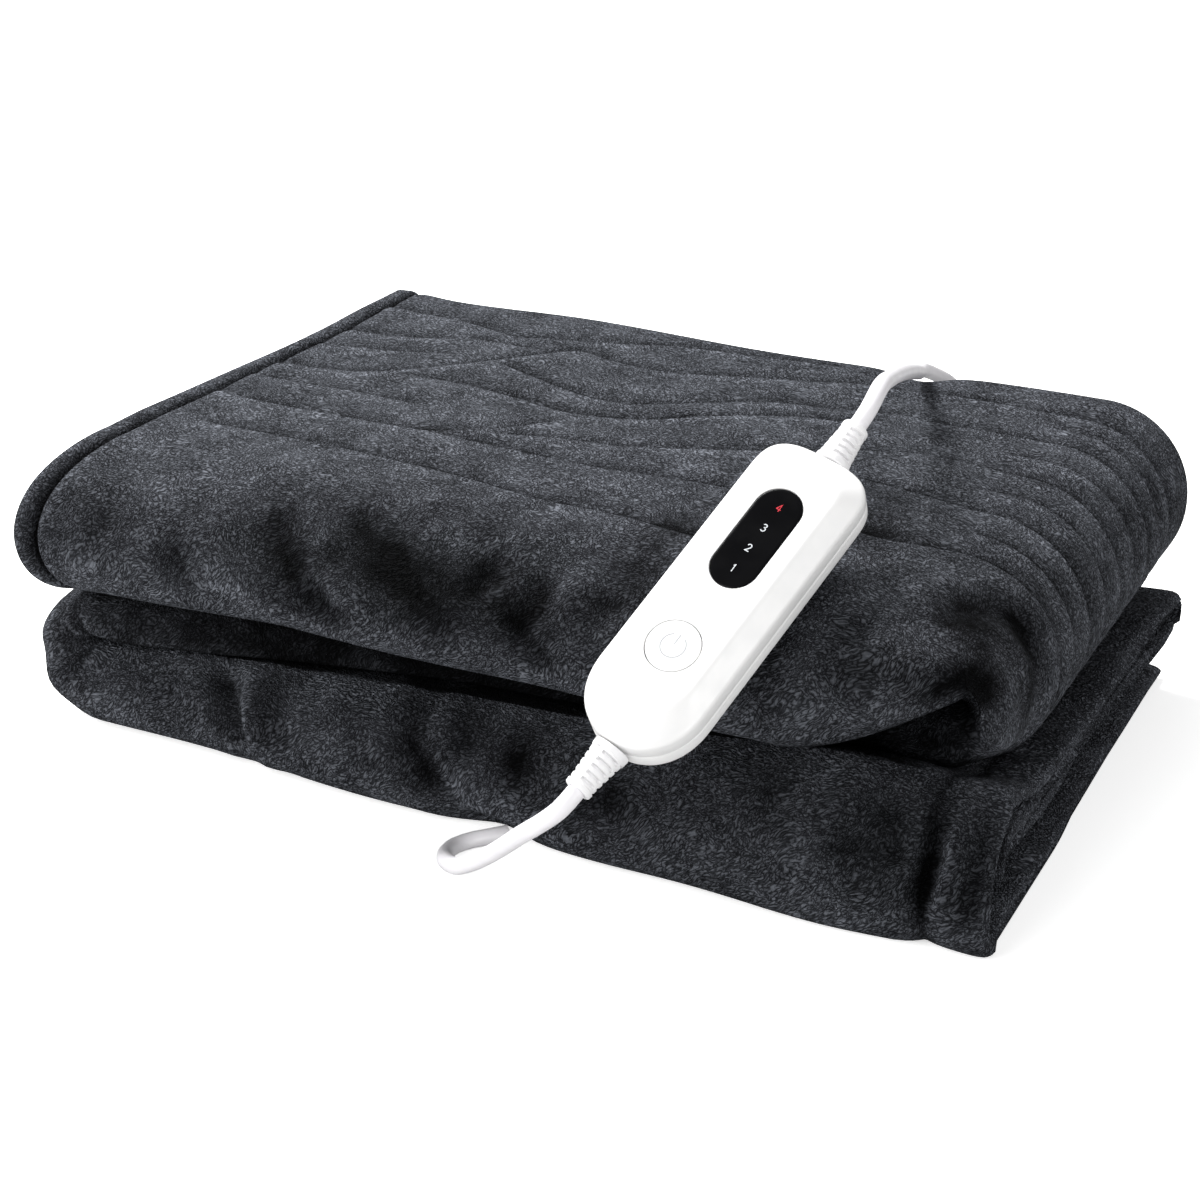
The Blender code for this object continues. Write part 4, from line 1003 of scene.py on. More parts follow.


# Creases and dents of the front, each with painted shade in its trough and a painted highlight along a ridge;
# rows with a given darkness and little depth are mostly painted shade, beside the controller, under the cord,
# along the front and in the curl. First the top pass, then its right curl, then the bottom pass.
CREASES = (
    Crease("controller_shade", 0.4, 15, ((60, -67, 139), (67, -110, 139), (68, -137, 134), (66, -153, 123),
        (62, -160, 112)), 0.62),
    Crease("controller_far_shade", 0.4, 13, ((123, -8, 140), (137, -43, 141), (145, -79, 141),
        (147, -103, 140)), 0.62),
    Crease("front_shade", 0.4, 16, ((-126, -142, 132), (-91, -132, 136), (-55, -125, 138), (-18, -123, 138),
        (19, -125, 136), (46, -128, 136)), 0.36),
    Crease("low_shade", 0.5, 14, ((-33, -134, 53), (2, -144, 49), (29, -145, 51), (40, -139, 56)), 0.45),
    Crease("cord_shade", 1.0, 12, ((76, -152, 45), (65, -154, 39), (53, -156, 30), (41, -156, 22)), 0.75),
    Crease("curl_shade", 0.1, 13, ((199, -129, 133), (207, -111, 127), (216, -104, 115), (220, -108, 103),
        (222, -128, 100)), 0.62),
    Crease("curl_dark", 0.1, 12, ((190, -122, 137), (198, -125, 134), (206, -133, 129), (212, -143, 123),
        (209, -153, 120), (198, -153, 113)), 0.8),
    Crease("front_band", 2.6, 17, ((-110, -157, 118), (-71, -157, 120), (-30, -157, 120), (12, -157, 118),
        (50, -158, 114))),
    Crease("left_band", 1.3, 14, ((-200, -155, 122), (-175, -158, 120), (-150, -158, 118))),
    Crease("hem_dimple", 2.0, 11, ((-192, -157, 120), (-185, -161, 115), (-180, -163, 109))),
    Crease("left_dimple", 2.5, 8, ((-134, -161, 115), (-139, -164, 107), (-135, -163, 100),
        (-128, -161, 92))),
    Crease("left_sweep", 4.0, 11, ((-109, -142, 132), (-97, -152, 125), (-85, -160, 115),
        (-75, -163, 106))),
    Crease("left_sweep_end", 3.5, 7, ((-80, -162, 110), (-70, -163, 102), (-61, -163, 98),
        (-52, -162, 97))),
    Crease("left_ridge", -2.0, 11, ((-122, -159, 117), (-110, -162, 106), (-97, -162, 101),
        (-78, -162, 98))),
    Crease("middle_sweep", 4.5, 9, ((-75, -130, 137), (-60, -140, 133), (-44, -147, 129), (-28, -153, 124),
        (-13, -156, 120), (-2, -156, 119))),
    Crease("middle_fork", 3.5, 8, ((-54, -154, 123), (-45, -157, 121), (-33, -161, 114), (-20, -162, 109),
        (-7, -162, 103), (2, -161, 98))),
    Crease("middle_ridge", -1.8, 8, ((-71, -157, 120), (-55, -162, 111), (-38, -163, 106),
        (-19, -162, 100))),
    Crease("right_dimple", 3.5, 13, ((-3, -145, 129), (7, -149, 125), (12, -153, 121))),
    Crease("rim_crease", 3.5, 6, ((16, -157, 116), (22, -159, 110), (29, -160, 103), (36, -159, 96),
        (43, -157, 90))),
    Crease("knee_dimple", 3.0, 8, ((29, -141, 130), (31, -151, 123), (32, -157, 115), (36, -159, 109))),
    Crease("by_controller", 3.0, 10, ((58, -147, 128), (59, -153, 123), (66, -157, 119))),
    Crease("front_right_dimple", 2.5, 10, ((169, -150, 127), (171, -156, 122), (174, -158, 116))),
    Crease("curl_band", 3.6, 8, ((188, -146, 133), (190, -135, 136), (193, -121, 136), (199, -105, 134),
        (207, -96, 128), (214, -93, 120), (219, -94, 110), (221, -98, 99)), 0.9),
    Crease("curl_eye", 2.2, 7, ((196, -154, 110), (202, -157, 118), (207, -154, 120), (213, -150, 120),
        (217, -145, 115)), 0.95),
    Crease("low_valley", 6.0, 7, ((-148, -132, 45), (-135, -143, 40), (-129, -149, 31), (-126, -150, 21),
        (-126, -144, 9))),
    Crease("low_ridge", -3.0, 8, ((-120, -129, 48), (-120, -142, 42), (-119, -149, 33), (-118, -151, 22),
        (-116, -145, 9))),
    Crease("low_dimple", 2.5, 9, ((-102, -135, 48), (-105, -144, 43), (-104, -150, 34), (-98, -153, 24))),
    Crease("low_ridge_two", -2.0, 9, ((-91, -131, 50), (-71, -142, 48), (-67, -151, 39), (-73, -154, 24))),
    Crease("low_sweep", 4.5, 9, ((-30, -126, 55), (-33, -140, 51), (-35, -149, 43), (-30, -153, 34),
        (-21, -153, 22), (-12, -147, 10))),
    Crease("low_ridge_three", -2.0, 8, ((-25, -121, 54), (-25, -139, 51), (-26, -148, 44))),
    Crease("low_blob", 2.5, 9, ((-14, -148, 43), (-2, -147, 46))),
    Crease("low_blob_two", 2.5, 8, ((-54, -154, 33), (-51, -154, 24))),
    Crease("low_middle", 3.0, 10, ((11, -146, 47), (18, -152, 41), (24, -155, 33))),
    Crease("right_dimples", 2.5, 9, ((125, -151, 54), (132, -149, 57), (138, -151, 56))),
    Crease("right_sweep", 4.5, 12, ((182, -139, 66), (181, -149, 57), (181, -154, 47), (187, -156, 35))),
    Crease("right_blob", 3.0, 8, ((164, -156, 48), (168, -158, 40))),
    Crease("end_crease", 5.5, 4.5, ((203, -135, 64), (202, -144, 57), (201, -150, 47), (199, -153, 35),
        (198, -151, 20))),
    Crease("end_ridge", -3.5, 7, ((208, -137, 64), (207, -146, 55), (206, -152, 43), (206, -153, 28),
        (207, -151, 16))),
    Crease("end_hollow", 2.5, 6, ((217, -131, 65), (217, -144, 57), (217, -151, 45), (216, -153, 31),
        (216, -153, 22))),
    Crease("end_foot", 1.0, 10, ((207, -153, 28), (213, -153, 26), (219, -152, 22)), 0.4),
)


@dataclass
class BlanketCloth:
    """The folded plush sheet as a thin closed cloth on its solid's folds."""

    thick: float = 7.5 * MM
    pass_gap_mm: float = 1.6
    right_turn_mm: tuple[float, float] = (179.0, 95.0)
    right_eye: float = 2.6 * MM
    left_turn_mm: tuple[float, float] = (-213.0, 45.2)
    left_eye: float = 1.5 * MM
    left_bow_run: float = 0.3  # share of the top pass over which the bow fades
    wander_rate: float = 0.42  # how fast the cloth's unevenness changes along it
    edge_run: float = 0.12  # share of the top pass over which its free edge sways
    core_step: float = 5.0 * MM  # how far the inner layers stand back there
    edge_sway: float = 2.0 * MM
    nose_sway: float = 1.6 * MM
    nose_wave: float = 0.9 * MM
    layer_sway: float = 3.2 * MM  # of each layer's own right edge
    sheet_inset: float = 3.0 * MM  # of the cloth's two edges at the back
    core_inset: float = 9.0 * MM
    right_steps: int = 34
    left_steps: int = 26
    curl_shift: tuple[float, float] = (33 * MM, 18 * MM)
    curl_reach: float = 46 * MM
    curl_front: Ramp = Ramp(-96 * MM, -40 * MM)  # along Y
    curl_close: float = 0.32  # share of the right wrap over which its front draws back
    stack_left_mm: float = -225.0
    stack_right_mm: float = 224.0
    sag_from_mm: float = -74.0
    nose_line_mm: float = -130.0
    stack_half_depth: float = 150 * MM
    wrap_run_mm: float = 141.0  # over the outside of the right wrap
    top_step_mm: float = 4.0
    middle_step_mm: float = 11.0
    bottom_step_mm: float = 5.0
    face_points: int = 114
    deepest_line: float = 2.6 * MM
    line_fade_mm: float = 22.0  # over which a stitched line runs out
    hem_line_mm: float = -205.0  # a line that starts left of this doesn't fade in at the hem
    slope_behind_mm: float = 6.5  # over which the face rises again behind a stitched line
    slope_before_mm: float = 1.7
    underside_shade: float = 0.85  # painted shade of the lower half of the top pass's nose, towards the gap
    underside: Ramp = Ramp(0.95, 0.5)  # where that painted shade grows, over the angle below the nose's foremost line
    wrap_shade: float = 0.9  # painted shade of the right wrap's lower part, in the gap
    wrap_shade_from: Ramp = Ramp(0.68, 0.16)  # where that painted shade grows, over the share of the wrap
    gap_left_light: float = 0.28  # how much lighter the middle pass's painted shade is at the gap's left end
    # where the middle pass's painted shade lightens to the left and fades out to the right
    gap_left_mm: Ramp = Ramp(-90.0, -100.0)
    gap_right_mm: Ramp = Ramp(190.0, -30.0)
    low_covered: Ramp = Ramp(198 * MM, -26 * MM)  # where the stack covers the bottom pass, whose face there carries painted shade
    low_shade: Ramp = Ramp(12 * MM, 14 * MM)  # painted shade of the bottom pass's face in the gap, over the distance behind its front
    inner_nose: tuple[float, float] = (1.5 * MM, 0.35 * MM)  # least depth and rise of the cloth's inner side
    shoulder: float = 0.22  # height of a crease's banks, as a share of its depth
    shoulder_place: float = 1.8  # distance of the banks, in widths
    spread_rounds: int = 14  # how often the skin's directions are evened out
    crease_reach: float = 3.2  # in widths
    upper_creases: float = 80 * MM  # a crease above this level belongs to the top pass and its curl
    nose_points: int = 64
    cord_rest: float = 87 * MM
    cord_rest_deep: float = 4.2 * MM
    cord_rest_back: Ramp = Ramp(95 * MM, 45 * MM)  # along Y
    cord_mouth: float = 3 * MM
    cord_mouth_deep: float = 7 * MM
    cord_mouth_low: Ramp = Ramp(17 * MM, -9 * MM)  # along Z
    cord_mouth_front: Ramp = Ramp(-100 * MM, -30 * MM)  # along Y
    cord_give: float = 15.5 * MM
    flat: tuple[float, float] = (1.35, 1.20)
    right_curl: dict = field(default_factory=lambda: {"tip": 17 * MM, "front": -154 * MM,
                                                      "deep_outer": 62 * MM, "deep_inner": 12 * MM})

    def section(self, row: Section) -> Section:
        """A table's row in metres."""
        return Section(*(value * MM for value in row))

    def raised(self, section: Section, level: float) -> Section:
        """The same section measured from another level."""
        return Section(section.x, *(value - level for value in section[1:6]), *section[6:])

    def flipped(self, section: Section) -> Section:
        """The same section with its normal turned round."""
        return Section(section.x, *(-value for value in section[1:6]), *section[6:])

    def turned_over(self, section: Section) -> Section:
        """The same section with its two faces exchanged."""
        return section._replace(outer=section.inner, bulge=section.sag, inner=section.outer,
                                sag=section.bulge, deep_outer=section.deep_inner,
                                deep_inner=section.deep_outer)

    def blended(self, a: Section, b: Section, share: float) -> Section:
        """A section between two others."""
        return Section(*(mix(p, q, share) for p, q in zip(a, b)))

    def middle_section(self, x: float) -> Section:
        """The middle pass: it follows the faces of its neighbours, a little apart."""
        above, below, tuck = between(TOP_PASS, x), between(BOTTOM_PASS, x), between(MIDDLE_PASS, x)
        gap = self.pass_gap_mm
        return self.section(Section(x, below.inner + gap, below.sag + gap, above.inner - gap,
                                    above.sag - gap, tuck.tip, tuck.front, tuck.deep, tuck.deep,
                                    tuck.back, tuck.core))

    def hem_inset(self, rows: Sequence[Hem], reach: float) -> tuple[float, float]:
        """How far the outer and the inner side are drawn in at a distance from a free edge."""
        if reach >= rows[-1].reach:
            return 0.0, 0.0
        row = between(rows, reach)
        return row.outer * MM, row.inner * MM

    # -------- the packet's path
    def top_stations(self) -> list[Station]:
        """The top pass, from the hem to the right wrap."""
        turn_x = self.right_turn_mm[0]
        reaches = [*LEFT_HEM_STATIONS, *np.arange(26.0, turn_x - self.stack_left_mm - 2.0, self.top_step_mm)]
        made = []
        for reach in reaches:
            x = self.stack_left_mm + reach
            drawn_out, drawn_in = self.hem_inset(LEFT_HEM, reach)
            # painted shade along the groove of the left hem's seam
            made.append(Station((x * MM, 0.0), (0.0, 1.0), self.section(between(TOP_PASS, x)),
                                reach / (turn_x - self.stack_left_mm), x, drawn_out, drawn_in,
                                shade=float(LEFT_GROOVE_SHADE.at(reach))))
        return made

    def right_wrap(self) -> list[Station]:
        """The wrap from the top pass to the middle one, with the outer face outside."""
        turn_x, turn_z = self.right_turn_mm
        first = self.raised(self.section(between(TOP_PASS, turn_x)), turn_z * MM)
        last = self.flipped(self.raised(self.middle_section(turn_x), turn_z * MM))
        first = first._replace(inner=self.right_eye, sag=self.right_eye)
        last = last._replace(inner=self.right_eye, sag=self.right_eye)
        middle = self.blended(first, last, 0.5)._replace(**self.right_curl)
        made = []
        for k in range(self.right_steps + 1):
            share = k / self.right_steps
            if share < 0.5:
                section = self.blended(first, middle, smooth(share * 2))
            else:
                section = self.blended(middle, last, smooth((share - 0.5) / self.curl_close))
            angle = pi * share
            # painted shade on the wrap's lower part, deep in the gap
            made.append(Station((turn_x * MM, turn_z * MM), (sin(angle), cos(angle)), section,
                                1.0 + share, turn_x + self.wrap_run_mm * share,
                                shade=self.wrap_shade * self.wrap_shade_from.at(share)))
        return made

    def middle_stations(self) -> list[Station]:
        """The middle pass, from the right wrap to the left one."""
        turn_x, left_x = self.right_turn_mm[0], self.left_turn_mm[0]
        count = round((turn_x - left_x) / self.middle_step_mm)
        made = []
        for k in range(1, count):
            x = mix(turn_x, left_x, k / count)
            # painted shade: the middle pass lies deep in the gap
            shade = (1.0 - self.gap_left_light * self.gap_left_mm.at(x)) * self.gap_right_mm.at(x)
            made.append(Station((x * MM, 0.0), (0.0, 1.0), self.middle_section(x), 2.0 + k / count,
                                shade=shade))
        return made

    def left_wrap(self) -> list[Station]:
        """The wrap from the middle pass to the bottom one, with the outer face inside."""
        turn_x, turn_z = self.left_turn_mm
        first = self.raised(self.middle_section(turn_x), turn_z * MM)
        first = first._replace(outer=self.left_eye, bulge=self.left_eye)
        last = self.flipped(self.raised(self.section(between(BOTTOM_PASS, turn_x)), turn_z * MM))
        last = self.turned_over(last._replace(inner=self.left_eye, sag=self.left_eye))
        made = []
        for k in range(self.left_steps + 1):
            share = k / self.left_steps
            angle = pi * share
            # painted shade, fading from the gap round the left wrap
            made.append(Station((turn_x * MM, turn_z * MM), (-sin(angle), cos(angle)),
                                self.blended(first, last, smooth(share)), 3.0 + share,
                                shade=0.42 * (1.0 - share)))
        return made

    def bottom_stations(self) -> list[Station]:
        """The bottom pass, from the left wrap to the free right edge."""
        turn_x = self.left_turn_mm[0]
        reaches = [*RIGHT_HEM_STATIONS,
                   *np.arange(40.0, self.stack_right_mm - turn_x - 2.0, self.bottom_step_mm)]
        made = []
        for reach in reversed(reaches):
            x = self.stack_right_mm - reach
            drawn_out, drawn_in = self.hem_inset(RIGHT_HEM, reach)
            section = self.turned_over(self.section(between(BOTTOM_PASS, x)))
            share = (x - turn_x) / (self.stack_right_mm - turn_x)
            # painted shade along the groove of the right hem's seam
            made.append(Station((x * MM, 0.0), (0.0, 1.0), section, 4.0 + share, drawn_out=drawn_out,
                                drawn_in=drawn_in, edge=smooth(1.0 - reach / 40.0),
                                shade=float(RIGHT_GROOVE_SHADE.at(reach))))
        return made

    # -------- one section
    def face_level(self, level: float, nose_level: float, y: float) -> float:
        """Level of a face at y: flat behind, eased to the nose's level in front."""
        run = (self.sag_from_mm - self.nose_line_mm) * MM
        return mix(level, nose_level, smooth((self.sag_from_mm * MM - y) / run))

    def stitch_places(self, run_mm: float) -> list[tuple[float, float]]:
        """Y and depth of every stitched line at a distance along the top, in metres."""
        found = []
        for stitch in STITCHES:
            stops = [Reading(*pair) for pair in stitch.stops]
            first, last = stops[0].place, stops[-1].place
            if not first <= run_mm <= last:
                continue
            starts = 1.0 if first < self.hem_line_mm else Ramp(first, self.line_fade_mm).at(run_mm)
            ends = Ramp(last, -self.line_fade_mm).at(run_mm)
            found.append((between(stops, run_mm).value * MM, stitch.depth * MM * starts * ends))
        return found

    def stitch_relief(self, y: np.ndarray, places: Pairs) -> tuple[np.ndarray, np.ndarray]:
        """Soft steps that fall to each stitched line from behind.

        Args:
            y: places across the face.
            places: the lines' places and depths.

        Returns:
            How far the face lies below its puffs, and its painted shade: 1 in a line, under 0 a painted
            highlight on a crest.
        """
        relief, dark = np.zeros_like(y), np.zeros_like(y)
        for line_y, depth in places:
            behind = (y - line_y) / MM
            fall = np.where(behind > 0.0, np.exp(-np.maximum(behind, 0.0) / self.slope_behind_mm),
                            np.exp(np.minimum(behind, 0.0) / self.slope_before_mm))
            crest = LINE_CREST.at(behind) * np.where(behind < 0.0, 1.0, 0.0)
            relief = np.maximum(relief, depth * fall) - depth * crest
            dark += depth / self.deepest_line * sum(tone.at(behind) for tone in LINE_PAINTED_SHADES)
        return relief, np.clip(dark, -0.45, 1.0)

    def face_places(self, start: float, stop: float, lines: Pairs) -> np.ndarray:
        """Places across the top face, closer together beside the stitched lines."""
        grid = np.linspace(start, stop, 700)
        crowd = np.ones_like(grid)
        for line_y, depth in lines:
            crowd += 2.4 * depth / MM * np.exp(-(((grid - line_y + 0.6 * MM) / (2.4 * MM)) ** 2))
        reach = np.concatenate([[0.0], np.cumsum((crowd[1:] + crowd[:-1]) / 2)])
        return np.interp(np.linspace(0.0, reach[-1], self.face_points), reach, grid)

    def outline(self, station: Station) -> list[RingPoint]:
        """The cloth's outline across the packet.

        It starts at the free edge of the lower outer layer, rounds the nose to the upper one, turns at
        the back into the core, turns inside the nose, and comes back along the other side.

        Args:
            station: where the packet is cut.

        Returns:
            The points once round.
        """
        sec, drawn_out, drawn_in = station.section, station.drawn_out, station.drawn_in
        side = 1.0 if sec.outer > sec.inner else -1.0
        thick = self.thick
        inside = thick - drawn_in
        half = thick / 2 - drawn_in * 0.8
        loop: list[RingPoint] = []

        def high(y: float) -> float:
            """Level of the outer face."""
            return self.face_level(sec.outer, sec.bulge, y)

        def low(y: float) -> float:
            """Level of the inner face."""
            return self.face_level(sec.inner, sec.sag, y)

        def layer(y: float, share: float) -> float:
            """Middle of the layer that lies a share of the way through the packet."""
            return mix(high(y) - side * thick / 2, low(y) + side * thick / 2, share)

        def line(level_at: Callable[[float], float], y_from: float, y_to: float, count: int,
                 name: Layer, skin: float = 0.0) -> None:
            """Points along a layer, both ends included."""
            for k in range(count):
                y = mix(y_from, y_to, k / (count - 1))
                loop.append(RingPoint(y, level_at(y), name, skin))

        def turn(centre_y: float, centre: float, reach: float, rise: float, count: int, way: float,
                 name: Layer) -> None:
            """Points inside half a turn; way is 1 from the low side up and -1 from the high side down."""
            for k in range(1, count + 1):
                angle = (-pi / 2 + pi * k / (count + 1)) * way
                loop.append(RingPoint(centre_y + reach * cos(angle), centre + side * rise * sin(angle), name))

        def nose(count: int, way: float, inset: float, least: tuple[float, float], skin: float) -> None:
            """Points round the nose, drawn in by the inset; way is as in a turn."""
            for k in range(1, count):
                angle = (-pi / 2 + pi * k / count) * way
                start, level, deep = ((start_low, low(start_low), sec.deep_inner) if angle < 0.0 else
                                      (start_high, high(start_high), sec.deep_outer))
                deep = max(deep - inset, least[0])
                rise = max(abs(level - sec.tip) - inset, least[1])
                # painted shade on the underside of the top pass's nose, towards the gap
                shadow = self.underside_shade * self.underside.at(-angle)
                shade = shadow if skin and station.along < 1.0 else 0.0
                loop.append(RingPoint(start - deep * cos(angle),
                                      sec.tip + side * rise * sin(angle), Layer.NOSE, skin, shade))

        start_high = sec.front + sec.deep_outer
        start_low = sec.front + sec.deep_inner
        fold_half = abs(high(sec.back) - layer(sec.back, 1 / 3)) / 2 + thick / 4
        fold_back = sec.back - fold_half
        core_half = abs(layer(sec.core, 1 / 3) - layer(sec.core, 2 / 3)) / 2
        core_start = sec.core + core_half + thick / 2
        edge_low = sec.back - self.sheet_inset
        edge_core = sec.back - self.core_inset

        line(lambda y: low(y) + side * drawn_out, edge_low, start_low, 30, Layer.OUTER_LOW, 1.0)
        nose(self.nose_points, 1.0, drawn_out, (0.0, 0.0), 1.0)
        lines = self.stitch_places(station.run_mm)
        face = self.face_places(start_high, fold_back, lines)
        relief, dark = self.stitch_relief(face, lines)
        # painted shade on the bottom pass's upper face, which lies in the gap under the stack
        in_gap = station.along > 3.5
        covered = self.low_covered.at(station.origin[0])
        for y, drop, shade in zip(face.tolist(), relief.tolist(), dark.tolist()):
            if in_gap:
                shade = self.low_shade.at(y - sec.front) * covered
            loop.append(RingPoint(y, high(y) - side * (drop + drawn_out), Layer.OUTER_HIGH, 1.0, shade))

        fold_centre = (high(fold_back) + layer(fold_back, 1 / 3) - side * half) / 2
        fold_rise = abs(high(fold_back) - fold_centre) - drawn_out * 0.5
        turn(fold_back, fold_centre, fold_half, fold_rise, 7, -1.0, Layer.CORE_HIGH)
        line(lambda y: layer(y, 1 / 3) - side * half, fold_back, core_start, 14, Layer.CORE_HIGH)
        core_centre = (layer(core_start, 1 / 3) + layer(core_start, 2 / 3)) / 2
        small = core_half - half
        turn(core_start, core_centre, -small, small, 4, -1.0, Layer.CORE_LOW)
        line(lambda y: layer(y, 2 / 3) + side * half, core_start, edge_core, 12, Layer.CORE_LOW)
        turn(edge_core, layer(edge_core, 2 / 3), 3.0 * MM, half * 0.9, 3, -1.0, Layer.CORE_LOW)
        line(lambda y: layer(y, 2 / 3) - side * half, edge_core, core_start, 12, Layer.CORE_LOW)
        turn(core_start, core_centre, -(core_half + half), core_half + half, 5, 1.0, Layer.CORE_HIGH)
        line(lambda y: layer(y, 1 / 3) + side * half, core_start, fold_back, 12, Layer.CORE_HIGH)
        inner_top = high(fold_back) - side * inside
        inner_low = layer(fold_back, 1 / 3) + side * half
        turn(fold_back, (inner_top + inner_low) / 2, fold_half * 0.25, abs(inner_top - inner_low) / 2, 3,
             1.0, Layer.OUTER_HIGH)
        line(lambda y: high(y) - side * inside, fold_back, start_high, 16, Layer.OUTER_HIGH)
        nose(12, -1.0, inside, self.inner_nose, 0.0)
        line(lambda y: low(y) + side * inside, start_low, edge_low, 12, Layer.OUTER_LOW)
        edge_centre = low(edge_low) + side * (inside + drawn_out) / 2
        turn(edge_low, edge_centre, 3.0 * MM, (inside - drawn_out) / 2 * 0.9, 3, -1.0, Layer.OUTER_LOW)
        return loop

    def curled(self, x: float, y: float, z: float) -> tuple[float, float]:
        """Move the right wrap's front towards its outer side, so that its roll grows tight there."""
        centre_x, centre_z = (value * MM for value in self.right_turn_mm)
        away = hypot(x - centre_x, z - centre_z)
        share = max(1.0 - away / self.curl_reach, 0.0) * self.curl_front.at(y)
        return x + self.curl_shift[0] * share, z + self.curl_shift[1] * share

    def placed(self, station: Station, point: RingPoint) -> Vector:
        """The world place of one point of a section, with the cloth's unevenness."""
        along, y, layer = station.along, point.y, point.layer
        wander = along * self.wander_rate
        sway = self.edge_sway * ripple(wander, y)
        if layer is Layer.NOSE:
            y += self.nose_sway * ripple(wander, 0.1, 2.0) + self.nose_wave * sin(23.0 * along)
        x = station.origin[0] + station.normal[0] * point.level
        z = station.origin[1] + station.normal[1] * point.level
        if along < self.left_bow_run:
            x += between(LEFT_BOW, y / MM).value * MM * (1.0 - smooth(along / self.left_bow_run))
        if along < self.edge_run:
            free = 1.0 - along / self.edge_run
            x += sway * free
            if layer in (Layer.CORE_HIGH, Layer.CORE_LOW):
                x += self.core_step * free
        if along < 1.0 and layer in (Layer.OUTER_HIGH, Layer.CORE_HIGH):
            beside = exp(-((x - self.cord_rest) / self.cord_give) ** 2)
            z -= self.cord_rest_deep * beside * self.cord_rest_back.at(y)
        if 0.7 < along < 2.3 and y < self.curl_front.start:
            x, z = self.curled(x, y, z)
        if along > 3.5 and layer in (Layer.NOSE, Layer.OUTER_LOW):
            beside = exp(-((x - self.cord_mouth) / self.cord_give) ** 2)
            y += self.cord_mouth_deep * beside * (self.cord_mouth_low.at(z) * self.cord_mouth_front.at(y))
        if station.edge > 0.0:
            back = STEP_BACK[layer]
            share = y / self.stack_half_depth
            stand = mix(back.middle, back.back if share > 0.0 else back.front, smooth(abs(share)))
            own = self.layer_sway * ripple(0.3 * layer.value, 1.3 * y, layer.value)
            x += (sway + own - stand * MM) * station.edge
        return Vector((x, y, max(z, 0.0)))

    def outward(self, places: np.ndarray, ring: Sequence[RingPoint]) -> np.ndarray:
        """The skin's directions outwards, evened out over a few centimetres.

        Args:
            places: the cloth's points, by station and place in the ring.
            ring: one station's ring, which tells the layers.

        Returns:
            A unit vector for each point.
        """
        along = np.gradient(places, axis=0)
        round_it = np.roll(places, -1, axis=1) - np.roll(places, 1, axis=1)
        normals = np.cross(along, round_it)
        normals /= np.maximum(np.linalg.norm(normals, axis=2, keepdims=True), 1e-12)
        face = [k for k, point in enumerate(ring) if point.layer is Layer.OUTER_HIGH and point.skin]
        if normals[30:60, face, 2].mean() < 0.0:
            normals = -normals
        for _ in range(self.spread_rounds):
            padded = np.concatenate([normals[:1], normals, normals[-1:]])
            normals = (padded[:-2] + padded[2:] + np.roll(normals, 1, axis=1)
                       + np.roll(normals, -1, axis=1)) / 4
        return normals / np.maximum(np.linalg.norm(normals, axis=2, keepdims=True), 1e-12)

    def crease_field(self, crease: Crease, points: np.ndarray) -> tuple[np.ndarray, np.ndarray]:
        """How far a crease draws points in, and how much painted shade it puts there: up to 1, under 0 a
        painted highlight on a ridge.
        """
        line = np.array([tuple(point) for point in curve_through(from_table(crease.points), 2 * MM)])
        width = crease.width * MM
        apart = np.linalg.norm(points[:, None, :] - line[None, :, :], axis=2)
        nearest = apart.argmin(axis=1)
        gap = apart[np.arange(len(points)), nearest] / width
        steps = len(line) - 1
        from_end = np.minimum(nearest, steps - nearest) / steps
        fade = mix(0.25, 1.0, ease(from_end * 3.2))
        trough = np.exp(-gap**2) * fade
        bank = np.exp(-((gap - self.shoulder_place) / 0.7) ** 2) * fade
        deep = crease.depth * MM * (trough - self.shoulder * bank)
        return deep, trough * (crease.dark or min(max(crease.depth, -1.5) / 5.0, 0.85))

    def draw_creases(self, places: np.ndarray, rings: Sequence[Sequence[RingPoint]],
                     alongs: np.ndarray, shades: np.ndarray) -> np.ndarray:
        """Press the creases into the skin, in place, and gather the painted shade of the creases and the
        stations.

        Args:
            places: the cloth's points, by station and place in the ring.
            rings: every station's ring points.
            alongs: how far along the cloth each station lies.
            shades: each station's own shade.

        Returns:
            How much painted shade each point carries, up to 1; under 0 it is a painted highlight.
        """
        skin = np.array([[point.skin for point in ring] for ring in rings])
        painted_shades = np.array([[point.painted_shade for point in ring] for ring in rings])
        # each station's own painted shade
        painted_shades = np.maximum(painted_shades, np.where(shades > 0.02, shades, -1.0)[:, None])
        normals = self.outward(places, rings[0])
        for crease in CREASES:
            table = np.array(crease.points) * MM
            top = table[:, 2].mean() > self.upper_creases
            reach = self.crease_reach * crease.width * MM
            near = np.all((places > table.min(axis=0) - reach) & (places < table.max(axis=0) + reach), axis=2)
            near &= (skin > 0.0) & ((alongs < 2.5) if top else (alongs > 2.9))[:, None]
            deep, painted_shade = self.crease_field(crease, places[near])
            places[near] -= normals[near] * deep[:, None]
            painted_shades[near] = np.minimum(np.maximum(painted_shades[near], 0.0) + painted_shade, 1.0)
        places[:, :, 2] = np.maximum(places[:, :, 2], 0.0)
        return painted_shades

